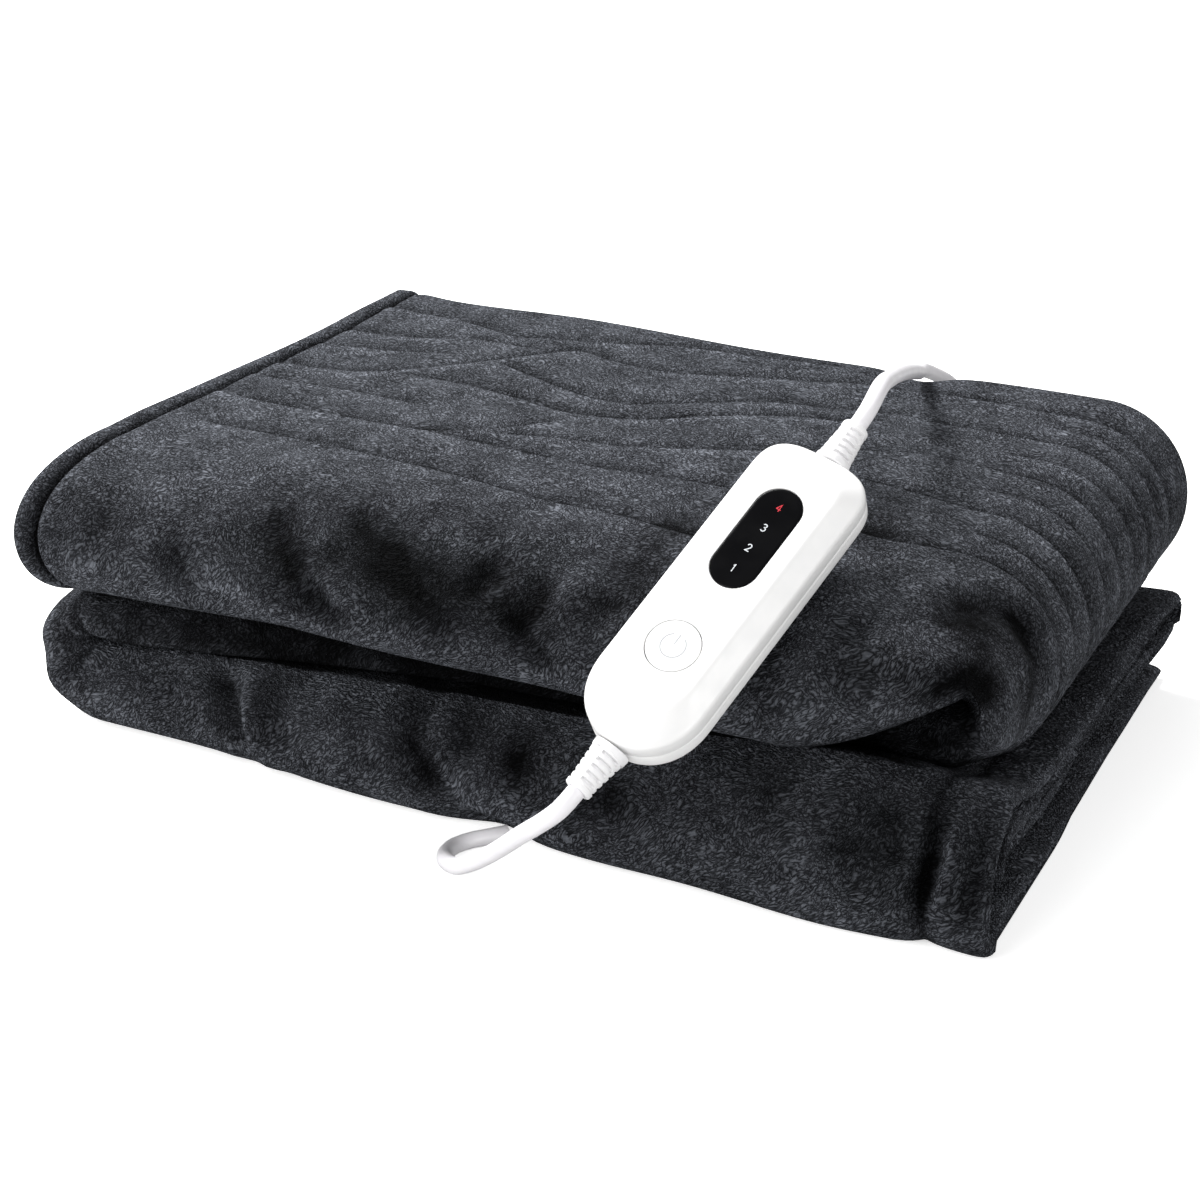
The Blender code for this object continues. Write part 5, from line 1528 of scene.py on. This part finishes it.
    def build(self, shop: Workshop, controller: Controller) -> None:
        """Make the cloth.

        Args:
            shop: where the piece is linked.
            controller: the controller, which the cloth keeps clear of.
        """
        stations = (self.top_stations() + self.right_wrap() + self.middle_stations() + self.left_wrap()
                    + self.bottom_stations())
        into_controller = controller.frame().inverted()
        rings = [self.outline(station) for station in stations]
        places = np.zeros((len(rings), len(rings[0]), 3))
        for row, (station, ring) in enumerate(zip(stations, rings)):
            for column, point in enumerate(ring):
                place = self.placed(station, point)
                if station.along < 1.0 and point.layer in (Layer.NOSE, Layer.OUTER_HIGH):
                    place = controller.keep_clear(place, into_controller)
                places[row, column] = place
        painted_shades = self.draw_creases(places, rings, np.array([station.along for station in stations]),
                                  np.array([station.shade for station in stations]))
        mesh = loft("blanket_cloth", [[Vector(place) for place in row] for row in places], sharp=180.0)
        # painted shade, which the plush material darkens its colour with
        marked = mesh.attributes.new(PAINTED_SHADE, "FLOAT", "POINT")
        marked.data.foreach_set("value", painted_shades.ravel().astype(np.float32))
        cloth = shop.add(mesh, "plush", Slot.PLUSH, "blanket")
        log.info("blanket_cloth has %d stations of %d points", len(rings), len(rings[0]))


# ======== the hand controller
# Strokes of the plain numerals, across and up, as shares of their height.
FIGURES = {
    "1": (((-0.13, 0.31), (0.04, 0.5), (0.04, -0.5)),),
    "2": (((-0.26, 0.27), (-0.20, 0.42), (-0.03, 0.50), (0.16, 0.45), (0.25, 0.29), (0.21, 0.10),
           (0.03, -0.15), (-0.27, -0.46), (0.28, -0.46)),),
    "3": (((-0.25, 0.36), (-0.10, 0.48), (0.08, 0.48), (0.22, 0.37), (0.22, 0.19), (0.08, 0.06),
           (-0.06, 0.04)),
          ((-0.06, 0.04), (0.10, 0.03), (0.26, -0.09), (0.27, -0.29), (0.14, -0.45), (-0.04, -0.50),
           (-0.26, -0.38))),
    "4": (((0.12, -0.5), (0.12, 0.5), (-0.30, -0.20)), ((-0.30, -0.20), (0.31, -0.20))),
}


@dataclass
class Controller:
    """The hand controller: both shells, the window with its figures, and the key."""

    length: float = 141 * MM
    width: float = 48.2 * MM
    base_height: float = 9.5 * MM
    wall: float = 8.0 * MM
    rise: float = 5.8 * MM
    base_round: float = 4.0 * MM
    face_centre: Vector = field(default_factory=lambda: Vector((115.9, -168.2, 148.8)) * MM)
    heading: float = radians(18.9)
    tilt: float = radians(34.4)
    roll: float = radians(17.3)
    cloth_gap: float = 0.5 * MM
    pressed_width: float = 96 * MM  # of the place that it presses flat in the cloth
    pressed_length: float = 176 * MM
    outline_steps: int = 44  # along each end's half turn
    window_length: float = 47.0 * MM
    window_width: float = 19.2 * MM
    window_place: float = 24.5 * MM
    window_thick: float = 1.2 * MM
    window_sink: float = 0.1 * MM
    button_radius: float = 10.6 * MM
    button_place: float = -29.1 * MM
    button_thick: float = 3.0 * MM
    button_travel: float = 0.8 * MM
    button_clear: float = 0.35 * MM
    button_room: float = 0.6 * MM
    figure_height: float = 3.2 * MM
    figure_step: float = 10.1 * MM
    figure_stroke: float = 0.40 * MM
    figure_raise: float = 0.04 * MM
    mark_radius: float = 4.9 * MM
    mark_stroke: float = 0.5 * MM

    def frame(self) -> Matrix:
        """The controller's own axes: X across, Y along to the upper end, Z out of the face."""
        along = Vector((cos(self.tilt) * sin(self.heading),
                        cos(self.tilt) * cos(self.heading), sin(self.tilt)))
        level = Vector((cos(self.heading), -sin(self.heading), 0.0))
        upright = level.cross(along)
        out = upright * cos(self.roll) + level * sin(self.roll)
        return axes(along.cross(out), along, out, self.face_centre)

    def keep_clear(self, point: Vector, into_controller: Matrix) -> Vector:
        """Keep a point of the cloth just behind the controller's back."""
        back = -(self.base_height + self.wall + self.rise) - self.cloth_gap
        local = into_controller @ point
        beside = max(abs(local.x) - self.pressed_width / 2, abs(local.y) - self.pressed_length / 2, 0.0)
        proud = local.z - back - beside * 0.6
        if proud <= 0.0 or local.z > back + 30 * MM:
            return point
        local.z -= proud
        return into_controller.inverted() @ local

    def outline(self, sides: float, lower: float, upper: float, height: float) -> list[Vector]:
        """The outline at one height, drawn in at its sides and at its lower and upper end."""
        half_width = self.width / 2 - sides
        top, bottom = self.length / 2 - upper, -self.length / 2 + lower
        points = []
        ends = ((0.0, 0.62, half_width * 0.80, top, 1.0), (pi, 0.92, half_width * 1.12, bottom, -1.0))
        for turn, power, depth, end, way in ends:
            for k in range(self.outline_steps + 1):
                angle = turn + pi * k / self.outline_steps
                cosine, sine = cos(angle), sin(angle)
                x = half_width * copysign(abs(cosine) ** power, cosine)
                points.append(Vector((x, end - way * depth + way * depth * abs(sine) ** power, height)))
        return points

    def pill(self, length: float, width: float, levels: Pairs,
             place: float) -> list[list[Vector]]:
        """Rings of a shape with round ends.

        Args:
            length: over both round ends.
            width: across.
            levels: pairs of how far a ring is drawn in, and its height.
            place: middle of the shape, along the controller.

        Returns:
            The rings.
        """
        corners = [(turn + pi * k / 24, place + way * (length - width) / 2)
                   for turn, way in ((0.0, 1.0), (pi, -1.0)) for k in range(25)]
        return [[Vector(((width / 2 - drawn) * cos(angle), centre + (width / 2 - drawn) * sin(angle), height))
                 for angle, centre in corners] for drawn, height in levels]

    def disc(self, radius: float, levels: Pairs, place: float) -> list[list[Vector]]:
        """Rings of a round shape, as the pill's."""
        return [[Vector(((radius - drawn) * x, place + (radius - drawn) * y, height))
                 for x, y in rounded_box(72, 1.0)] for drawn, height in levels]

    def carve(self, mesh: Mesh, cutters: Sequence[Mesh], name: str) -> Mesh:
        """Cut pockets in a mesh and return the result."""
        target = linked(mesh)
        tools = [linked(cutter) for cutter in cutters]
        for tool in tools:
            cut = target.modifiers.new(tool.name, "BOOLEAN")
            cut.operation, cut.object, cut.solver = "DIFFERENCE", tool, "EXACT"
        shaped = bpy.data.meshes.new_from_object(
            target.evaluated_get(bpy.context.evaluated_depsgraph_get()))
        for old in (target, *tools):
            bpy.data.objects.remove(old, do_unlink=True)
        shaped.name = name
        shaped.shade_smooth()
        shaped.set_sharp_from_angle(angle=radians(30))
        return shaped

    def make_base(self, shop: Workshop) -> None:
        """The lower shell."""
        seam = -self.rise - self.wall
        floor = seam - self.base_height
        inner = self.base_round + 1.2 * MM
        rings = [self.outline(inner, inner, inner, floor)]
        for k in range(9):
            angle = pi / 2 * k / 8
            draw = self.base_round * (1.0 - sin(angle))
            rings.append(self.outline(draw, draw, draw, floor + self.base_round * (1.0 - cos(angle))))
        for draw, below in ((0.0, 1.0), (0.12, 0.6), (0.5, 0.15)):
            rings.append(self.outline(draw * MM, draw * MM, draw * MM, seam - below * MM))
        shop.add(loft("controller_lower_shell", rings, self.frame()), "satin_shell", Slot.SHELL,
                 "controller_base")

    def make_cover(self, shop: Workshop) -> None:
        """The upper shell with its raised face and the pockets for the window and the key."""
        wall_top, seam = -self.rise, -self.rise - self.wall
        profile = (  # drawn in at the sides, lower and upper end, and height, in mm
            (1.6, 1.6, 1.6, seam / MM + 0.15), (0.5, 0.5, 0.5, seam / MM + 0.15),
            (0.12, 0.12, 0.12, seam / MM + 0.5), (0.0, 0.0, 0.0, seam / MM + 0.9),
            (0.0, 0.0, 0.0, wall_top / MM - 1.9), (0.10, 0.12, 0.10, wall_top / MM - 1.2),
            (0.32, 0.38, 0.32, wall_top / MM - 0.6), (0.66, 0.82, 0.66, wall_top / MM - 0.1),
            (1.10, 1.42, 1.10, wall_top / MM + 0.32), (1.65, 2.3, 1.7, wall_top / MM + 0.72),
            (2.5, 4.1, 2.9, wall_top / MM + 1.45), (4.3, 8.0, 5.4, wall_top / MM + 2.9),
            (6.0, 12.0, 8.0, -1.20), (6.6, 13.4, 8.9, -0.72), (7.2, 14.6, 9.7, -0.36),
            (7.8, 15.6, 10.5, -0.10), (8.5, 16.6, 11.3, 0.0), (9.6, 18.0, 12.6, 0.0),
        )
        rings = [self.outline(a * MM, b * MM, c * MM, height * MM) for a, b, c, height in profile]
        over = 2.0 * MM
        depth = self.window_sink + self.window_thick + GAP
        lip = 0.25 * MM
        window_cut = self.pill(self.window_length + 2 * GAP, self.window_width + 2 * GAP,
                               ((0.0, -depth), (0.0, -lip), (-lip - over, over)), self.window_place)
        depth = self.button_thick + self.button_travel + self.button_room
        button_cut = self.disc(self.button_radius + self.button_clear,
                               ((0.0, -depth), (0.0, -lip), (-lip - over, over)), self.button_place)
        blank = loft("controller_cover_blank", rings)
        shaped = self.carve(blank, (loft("window_cut", window_cut), loft("button_cut", button_cut)),
                            "controller_upper_shell")
        shaped.transform(self.frame())
        shop.add(shaped, "satin_shell", Slot.SHELL, "controller_cover")

    def make_window(self, shop: Workshop) -> None:
        """The dark window and the four figures on it."""
        top, low = -self.window_sink, -self.window_sink - self.window_thick
        levels = ((0.0, low), (0.0, top - 0.3 * MM), (0.1 * MM, top - 0.1 * MM), (0.3 * MM, top),
                  (1.2 * MM, top))
        rings = self.pill(self.window_length, self.window_width, levels, self.window_place)
        shop.add(loft("window_pane", rings, self.frame()), "gloss_window", Slot.WINDOW, "display_window")
        for index in range(4):
            place = self.window_place + (index - 1.5) * self.figure_step
            finish = "red_figure" if index == 3 else "white_figure"
            shop.add(self.figure(str(index + 1), place, top), finish, Slot.WINDOW)

    def figure(self, digit: str, place: float, level: float) -> Mesh:
        """A plain numeral, upright towards the upper end."""
        bm = bmesh.new()
        for stroke in FIGURES[digit]:
            line = [Vector((x * self.figure_height, place + y * self.figure_height, level + 0.01 * MM))
                    for x, y in stroke]
            ribbon(bm, line, self.figure_stroke, self.figure_raise)
        return finish_mesh(bm, "heat_level_" + digit, self.frame())

    def make_button(self, shop: Workshop) -> None:
        """The round key, and the power mark on it."""
        levels = ((0.4 * MM, -self.button_thick), (0.0, -self.button_thick + 0.4 * MM), (0.0, -0.35 * MM),
                  (0.06 * MM, -0.15 * MM), (0.16 * MM, -0.04 * MM), (0.34 * MM, 0.0), (1.2 * MM, 0.0))
        rings = self.disc(self.button_radius, levels, self.button_place)
        shop.add(loft("power_key", rings, self.frame()), "satin_button", Slot.BUTTON, "power_button",
                 body=Body.BUTTON)
        opening = radians(30)
        arc = []
        for k in range(49):
            angle = pi / 2 + opening + (2 * pi - 2 * opening) * k / 48
            arc.append(Vector((self.mark_radius * cos(angle),
                               self.button_place + self.mark_radius * sin(angle), 0.01 * MM)))
        bar = [Vector((0.0, self.button_place + self.mark_radius * share, 0.01 * MM))
               for share in (0.16, 1.08)]
        bm = bmesh.new()
        ribbon(bm, arc, self.mark_stroke, self.figure_raise)
        ribbon(bm, bar, self.mark_stroke, self.figure_raise)
        shop.add(finish_mesh(bm, "power_mark", self.frame()), "pressed_mark", Slot.BUTTON, body=Body.BUTTON)

    def build(self, shop: Workshop) -> None:
        """Make every piece of the controller."""
        self.make_base(shop)
        self.make_cover(shop)
        self.make_window(shop)
        self.make_button(shop)


# ======== reliefs and cords
@dataclass
class Sleeve:
    """A tapered strain relief: a collar, a body with staggered slots, and an end ring."""

    name: str
    node: str
    length: float = 20.0 * MM
    root: float = 7.2 * MM
    end: float = 5.1 * MM
    root_collar: float = 0.13  # share of the length
    end_collar: float = 0.115
    collar_proud: float = 0.35 * MM
    slots: int = 5
    slot_share: float = 0.42  # of the pitch
    slot_reach: float = radians(37)
    slot_depth: float = 1.7 * MM
    edge_round: float = 0.5 * MM
    saddle: float = 0.0  # how far the root's sides reach back along the end that it sits on
    saddle_turn: float = 0.0  # angle of that end's width in the sleeve's section
    sides: int = 96
    levels: int = 160

    def radius(self, level: float, angle: float) -> float:
        """Radius at a share of the length and an angle, with the slots cut in."""
        body = mix(self.root, self.end, level)
        body += self.collar_proud * (1.0 - smooth((level - self.root_collar) / 0.02))
        body += self.collar_proud * smooth((level - 1.0 + self.end_collar) / 0.02)
        share = (level - self.root_collar) / (1.0 - self.root_collar - self.end_collar) * self.slots
        if 0.0 < share < self.slots:
            facing = abs(remainder(angle, pi)) < pi / 4
            quarter = abs(remainder(angle, pi / 2))
            phase = share % 1.0 if facing else (share + 0.5) % 1.0
            across = smooth((self.slot_reach - quarter) / radians(4))
            along = smooth((self.slot_share / 2 + 0.04 - abs(phase - 0.5)) / 0.08)
            body -= self.slot_depth * across * along
        edge = min(level, 1.0 - level) * self.length
        return body - self.edge_round * (1.0 - sqrt(min(1.0, edge / self.edge_round)))

    def build(self, shop: Workshop, place: Matrix) -> Object:
        """Make the sleeve.

        Args:
            shop: where the piece is linked.
            place: the sleeve's root, with Z towards its end.

        Returns:
            The sleeve.
        """
        rings = []
        for row in range(self.levels + 1):
            level = row / self.levels
            ring = []
            for k in range(self.sides):
                angle = 2 * pi * k / self.sides
                radius = self.radius(level, angle)
                back = self.saddle * (radius * cos(angle - self.saddle_turn) / self.root) ** 2
                ring.append(Vector((radius * cos(angle), radius * sin(angle),
                                    level * self.length - back * (1.0 - smooth(level / 0.12)))))
            rings.append(ring)
        return shop.add(loft(self.name, rings, place, sharp=50.0), "soft_sleeve", Slot.SLEEVE, self.node)


@dataclass
class Coil:
    """The spare length of the mains cord, wound in two layers of three turns."""

    centre: Vector = field(default_factory=lambda: Vector((-12, 254, 8.6)) * MM)
    tilt: float = radians(1.1)
    radius: float = 40 * MM
    half_width: float = 11.0 * MM
    half_height: float = 7.4 * MM
    pitch: float = 7.3 * MM
    tie_angle: float = radians(112)
    tie_width: float = 9 * MM
    tie_thick: float = 1.2 * MM
    tie_clear: float = 0.5 * MM
    slant: float = radians(58)
    arrive_angle: float = -62.0
    arrive_rise: float = -3.8 * MM
    lead_angle: float = -110.0
    lead_rise: float = 1.0 * MM
    turns: float = 6.0

    def lie(self) -> Matrix:
        """The coil's own axes, tilted by the tie under it."""
        turn = Matrix.Rotation(self.tie_angle, 4, "Z") @ Matrix.Rotation(-self.tilt, 4, "Y")
        return Matrix.Translation(self.centre) @ turn

    def reach(self, cord: float) -> float:
        """Distance from the coil's middle at which a cord meets its outer side."""
        return self.radius + self.half_width + GAP + cord / 2 * sin(self.slant)

    def touch(self, angle_deg: float, rise: float, cord: float, way: float) -> tuple[Vector, Vector]:
        """Where a cord meets the coil's outer side, and the direction there into the coil."""
        angle = radians(angle_deg)
        radial = Vector((cos(angle), sin(angle), 0.0))
        along = Vector((-sin(angle), cos(angle), 0.0))
        direction = -radial * cos(self.slant) + along * sin(self.slant) * way
        return self.centre + radial * self.reach(cord) + Vector((0.0, 0.0, rise)), direction

    def winding(self, cord: float) -> list[Vector]:
        """The cord's centreline in the coil, from where it arrives to where it leaves, clockwise."""
        low, high = -self.pitch / 2, self.pitch / 2
        outer, inner = self.radius + self.pitch, self.radius - self.pitch
        reach = self.reach(cord)
        stop = 360.0 * self.turns + self.arrive_angle - self.lead_angle
        steps = (  # degrees wound, radius and height
            (0.0, reach, self.arrive_rise), (40.0, outer, low), (280.0, outer, low),
            (320.0, self.radius, low), (640.0, self.radius, low),
            (680.0, inner, low), (1000.0, inner, low), (1040.0, inner, high),
            (1320.0, inner, high), (1360.0, self.radius, high), (1680.0, self.radius, high),
            (1720.0, outer, high), (stop - 34.0, outer, high), (stop, reach, self.lead_rise + 0.6 * MM),
        )
        lie = self.lie()
        points = []
        for (a0, r0, z0), (a1, r1, z1) in zip(steps, steps[1:]):
            count = max(3, round((a1 - a0) / 8.0))
            for k in range(count):
                share = k / count
                angle = radians(self.arrive_angle - mix(a0, a1, share)) - self.tie_angle
                radius, height = mix(r0, r1, smooth(share)), mix(z0, z1, smooth(share))
                points.append(lie @ Vector((radius * cos(angle), radius * sin(angle), height)))
        return points

    def make_tie(self, shop: Workshop) -> Object:
        """The strap round the coil."""
        inside, outside = self.tie_clear, self.tie_clear + self.tie_thick
        sides = (-1.0, -0.5, 0.5, 1.0)
        profile = [(inside, side) for side in sides] + [(outside, side) for side in reversed(sides)]
        rings = [[Vector((self.radius + (self.half_width + grow) * x, side * self.tie_width / 2,
                          (self.half_height + grow) * z)) for x, z in rounded_box(48, 0.5, 0.5)]
                 for grow, side in profile]
        mesh = loft("strap_tie", rings, self.lie(), closed=True)
        return shop.add(mesh, "strap", Slot.TIE, "coil_tie")


@dataclass
class Plug:
    """The plug: its sleeve, its body and two flat blades."""

    sleeve: float = 22 * MM
    across: float = 24 * MM
    along: float = 28 * MM
    high: float = 19 * MM
    blade: tuple[float, float, float] = (1.5 * MM, 17.5 * MM, 6.3 * MM)
    spacing: float = 12.7 * MM

    def build(self, shop: Workshop, leave: Vector, direction: Vector) -> list[Object]:
        """Make the plug on the end of a cord.

        Args:
            shop: where the pieces are linked.
            leave: the cord's end.
            direction: where the plug points.

        Returns:
            The plug's pieces.
        """
        sleeve = Sleeve("plug_sleeve", "plug_relief", length=self.sleeve)
        pieces = [sleeve.build(shop, aim(leave + direction * (self.sleeve + GAP), -direction))]
        right = direction.cross(Vector((0.0, 0.0, 1.0))).normalized()
        frame = axes(right, direction, right.cross(direction), leave + direction * (self.sleeve + 2 * GAP))
        rings = []
        rows = ((0.0, 0.60), (0.0, 0.67), (0.02, 0.72), (0.08, 0.80), (0.20, 0.88), (0.35, 0.94),
                (0.5, 0.975), (0.7, 1.0), (0.93, 1.0), (0.975, 0.985), (1.0, 0.94), (1.0, 0.86))
        for share, scale in rows:
            grip = 0.035 * sin(share * 42.0) if 0.2 < share < 0.62 else 0.0
            rings.append([Vector((self.across / 2 * (scale - max(grip, 0.0)) * x, self.along * share,
                                  self.high / 2 * scale * z)) for x, z in rounded_box(64, 0.55)])
        pieces.append(shop.add(loft("plug_shell", rings, frame, sharp=40.0), "moulded_plug", Slot.PLUG,
                               "plug_body"))
        for label, side in (("left", -1.0), ("right", 1.0)):
            pieces.append(self.make_blade(shop, frame, label, side))
        return pieces

    def make_blade(self, shop: Workshop, frame: Matrix, label: str, side: float) -> Object:
        """One blade with a rounded tip."""
        thick, length, high = self.blade
        rows = ((0.0, 1.0, 1.0), (0.80, 1.0, 1.0), (0.90, 0.94, 0.93), (0.96, 0.78, 0.8), (1.0, 0.5, 0.6))
        rings = [[Vector((side * self.spacing / 2 + thick / 2 * scale_x * x,
                          self.along + GAP + length * share, high / 2 * scale_z * z))
                  for x, z in rounded_box(24, 0.3)] for share, scale_x, scale_z in rows]
        return shop.add(loft(f"blade_{label}", rings, frame), "plate", Slot.BLADE, f"plug_blade_{label}")


@dataclass
class CordSet:
    """Both cords, the coil of spare cord with its tie, and the plug."""

    cord: float = 7.2 * MM
    step: float = 5 * MM
    straight: float = 8 * MM
    relief_length: float = 20.0 * MM
    relief_root: float = 7.2 * MM
    upper_turn: float = radians(3)
    lower_turn: float = radians(-3.4)
    slot_turn: float = radians(40)  # of the facing slots, from the face towards the right
    mains_length: float = 2.10
    blanket_length: float = 0.18
    mains_route_mm: tuple = (
        (137.5, -62, 198.6), (131, -32, 192.8), (123, 5, 183.5), (112, 52, 169.5), (101, 95, 155.5),
        (92, 126, 145.7), (87, 146.5, 140.2), (89, 158, 135), (93, 168, 129),
        (98, 177, 119), (100, 186, 102), (97, 193, 78), (87, 197.5, 53), (72, 200, 29), (57, 201.5, 13.5),
        (42, 203.3, 8.4),
    )
    to_blanket_route_mm: tuple = (
        (75.5, -233, 71), (64.5, -229, 61), (52.5, -221.5, 49), (40.5, -213.5, 37.5), (29.5, -207, 28),
        (18, -200, 19.5), (5.5, -188, 12.5), (-2.5, -174, 7), (-4.5, -163, 4.2), (-1, -155.5, 3.8),
        (4.5, -149.5, 3.8), (9.5, -143.5, 3.8),
    )
    lead_route_mm: tuple = (
        (-50, 200.6, 8.6), (-63, 202.6, 7.8), (-75, 208, 7.8), (-84, 216.5, 8.8), (-88.5, 226, 9.6),
        (-90, 235, 9.7),
    )

    def sleeve_place(self, controller: Controller, end: float, turn: float) -> tuple[Matrix, Vector, Vector]:
        """A sleeve's place on the controller, where its cord leaves it and in which direction."""
        frame = controller.frame()
        out = controller.length / 2 + GAP + self.relief_root * abs(sin(turn))
        root = frame @ Vector((0.0, end * out, -controller.rise - controller.wall))
        tilted = Vector((-end * sin(turn), end * cos(turn), 0.0))
        direction = (frame.to_3x3() @ tilted).normalized()
        facing = frame.to_3x3() @ Vector((sin(self.slot_turn), 0.0, cos(self.slot_turn)))
        across = direction.cross(facing).normalized()
        place = axes(across.cross(direction), across, direction, root)
        return place, root + direction * (self.relief_length + GAP), direction

    def make_sleeve(self, shop: Workshop, controller: Controller, which: str, end: float, turn: float,
                    saddle: float) -> tuple[Vector, Vector]:
        """A sleeve on the controller; returns where its cord leaves it and the next point outwards."""
        place, leave, direction = self.sleeve_place(controller, end, turn)
        sleeve = Sleeve(f"sleeve_{which}", f"strain_relief_{which}", saddle=saddle,
                        saddle_turn=end * (pi / 2 - self.slot_turn))
        sleeve.build(shop, place)
        return leave, leave + direction * self.straight

    def lay_cord(self, shop: Workshop, name: str, route: Sequence[Vector],
                 *replaces: str) -> tuple[Object, list[Vector]]:
        """A cord along a route, and its centreline."""
        line = curve_through(route, self.step)
        log.info("%s is %.3f m long", name, line_length(line))
        return shop.add(tube_curve(name, line, self.cord, 7), "soft_cord", Slot.CORD, *replaces), line

    def make_mains(self, shop: Workshop, controller: Controller) -> None:
        """The mains cord from the upper sleeve over the stack and through the coil to the plug."""
        coil = Coil()
        leave, outside = self.make_sleeve(shop, controller, "upper", 1.0, self.upper_turn, 0.1 * MM)
        touch, inward = coil.touch(coil.arrive_angle, coil.arrive_rise, self.cord, -1.0)
        out_touch, out_inward = coil.touch(coil.lead_angle, coil.lead_rise, self.cord, 1.0)
        route = [leave, outside, *from_table(self.mains_route_mm),
                 touch - inward * self.straight, *coil.winding(self.cord),
                 out_touch - out_inward * self.straight, *from_table(self.lead_route_mm)]
        cord, line = self.lay_cord(shop, "mains_cord", route, "cord_mains", "cord_coil", "cord_lead")
        run = line[-1] - line[-2]
        heading = Vector((run.x, run.y, 0.0)).normalized()
        pieces = Plug().build(shop, line[-1], heading)
        tie = coil.make_tie(shop)

    def make_blanket_cord(self, shop: Workshop, controller: Controller) -> None:
        """The short cord from the lower sleeve down and under the front of the blanket."""
        leave, outside = self.make_sleeve(shop, controller, "lower", -1.0, self.lower_turn, 0.7 * MM)
        route = [leave, outside, *from_table(self.to_blanket_route_mm)]
        cord, _ = self.lay_cord(shop, "blanket_cord", route, "cord_to_blanket")

    def build(self, shop: Workshop, controller: Controller) -> None:
        """Make both cords with all that is on them."""
        self.make_mains(shop, controller)
        self.make_blanket_cord(shop, controller)


def main() -> None:
    """Load the frame and dress it."""
    logging.basicConfig(level=logging.INFO, format="%(name)s: %(message)s")
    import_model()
    Studio().build()
    finishes = Finishes()
    finishes.build()
    shop = Workshop(finishes)
    controller = Controller()
    CordSet().build(shop, controller)
    controller.build(shop)
    BlanketCloth().build(shop, controller)


if __name__ == "__main__":
    main()
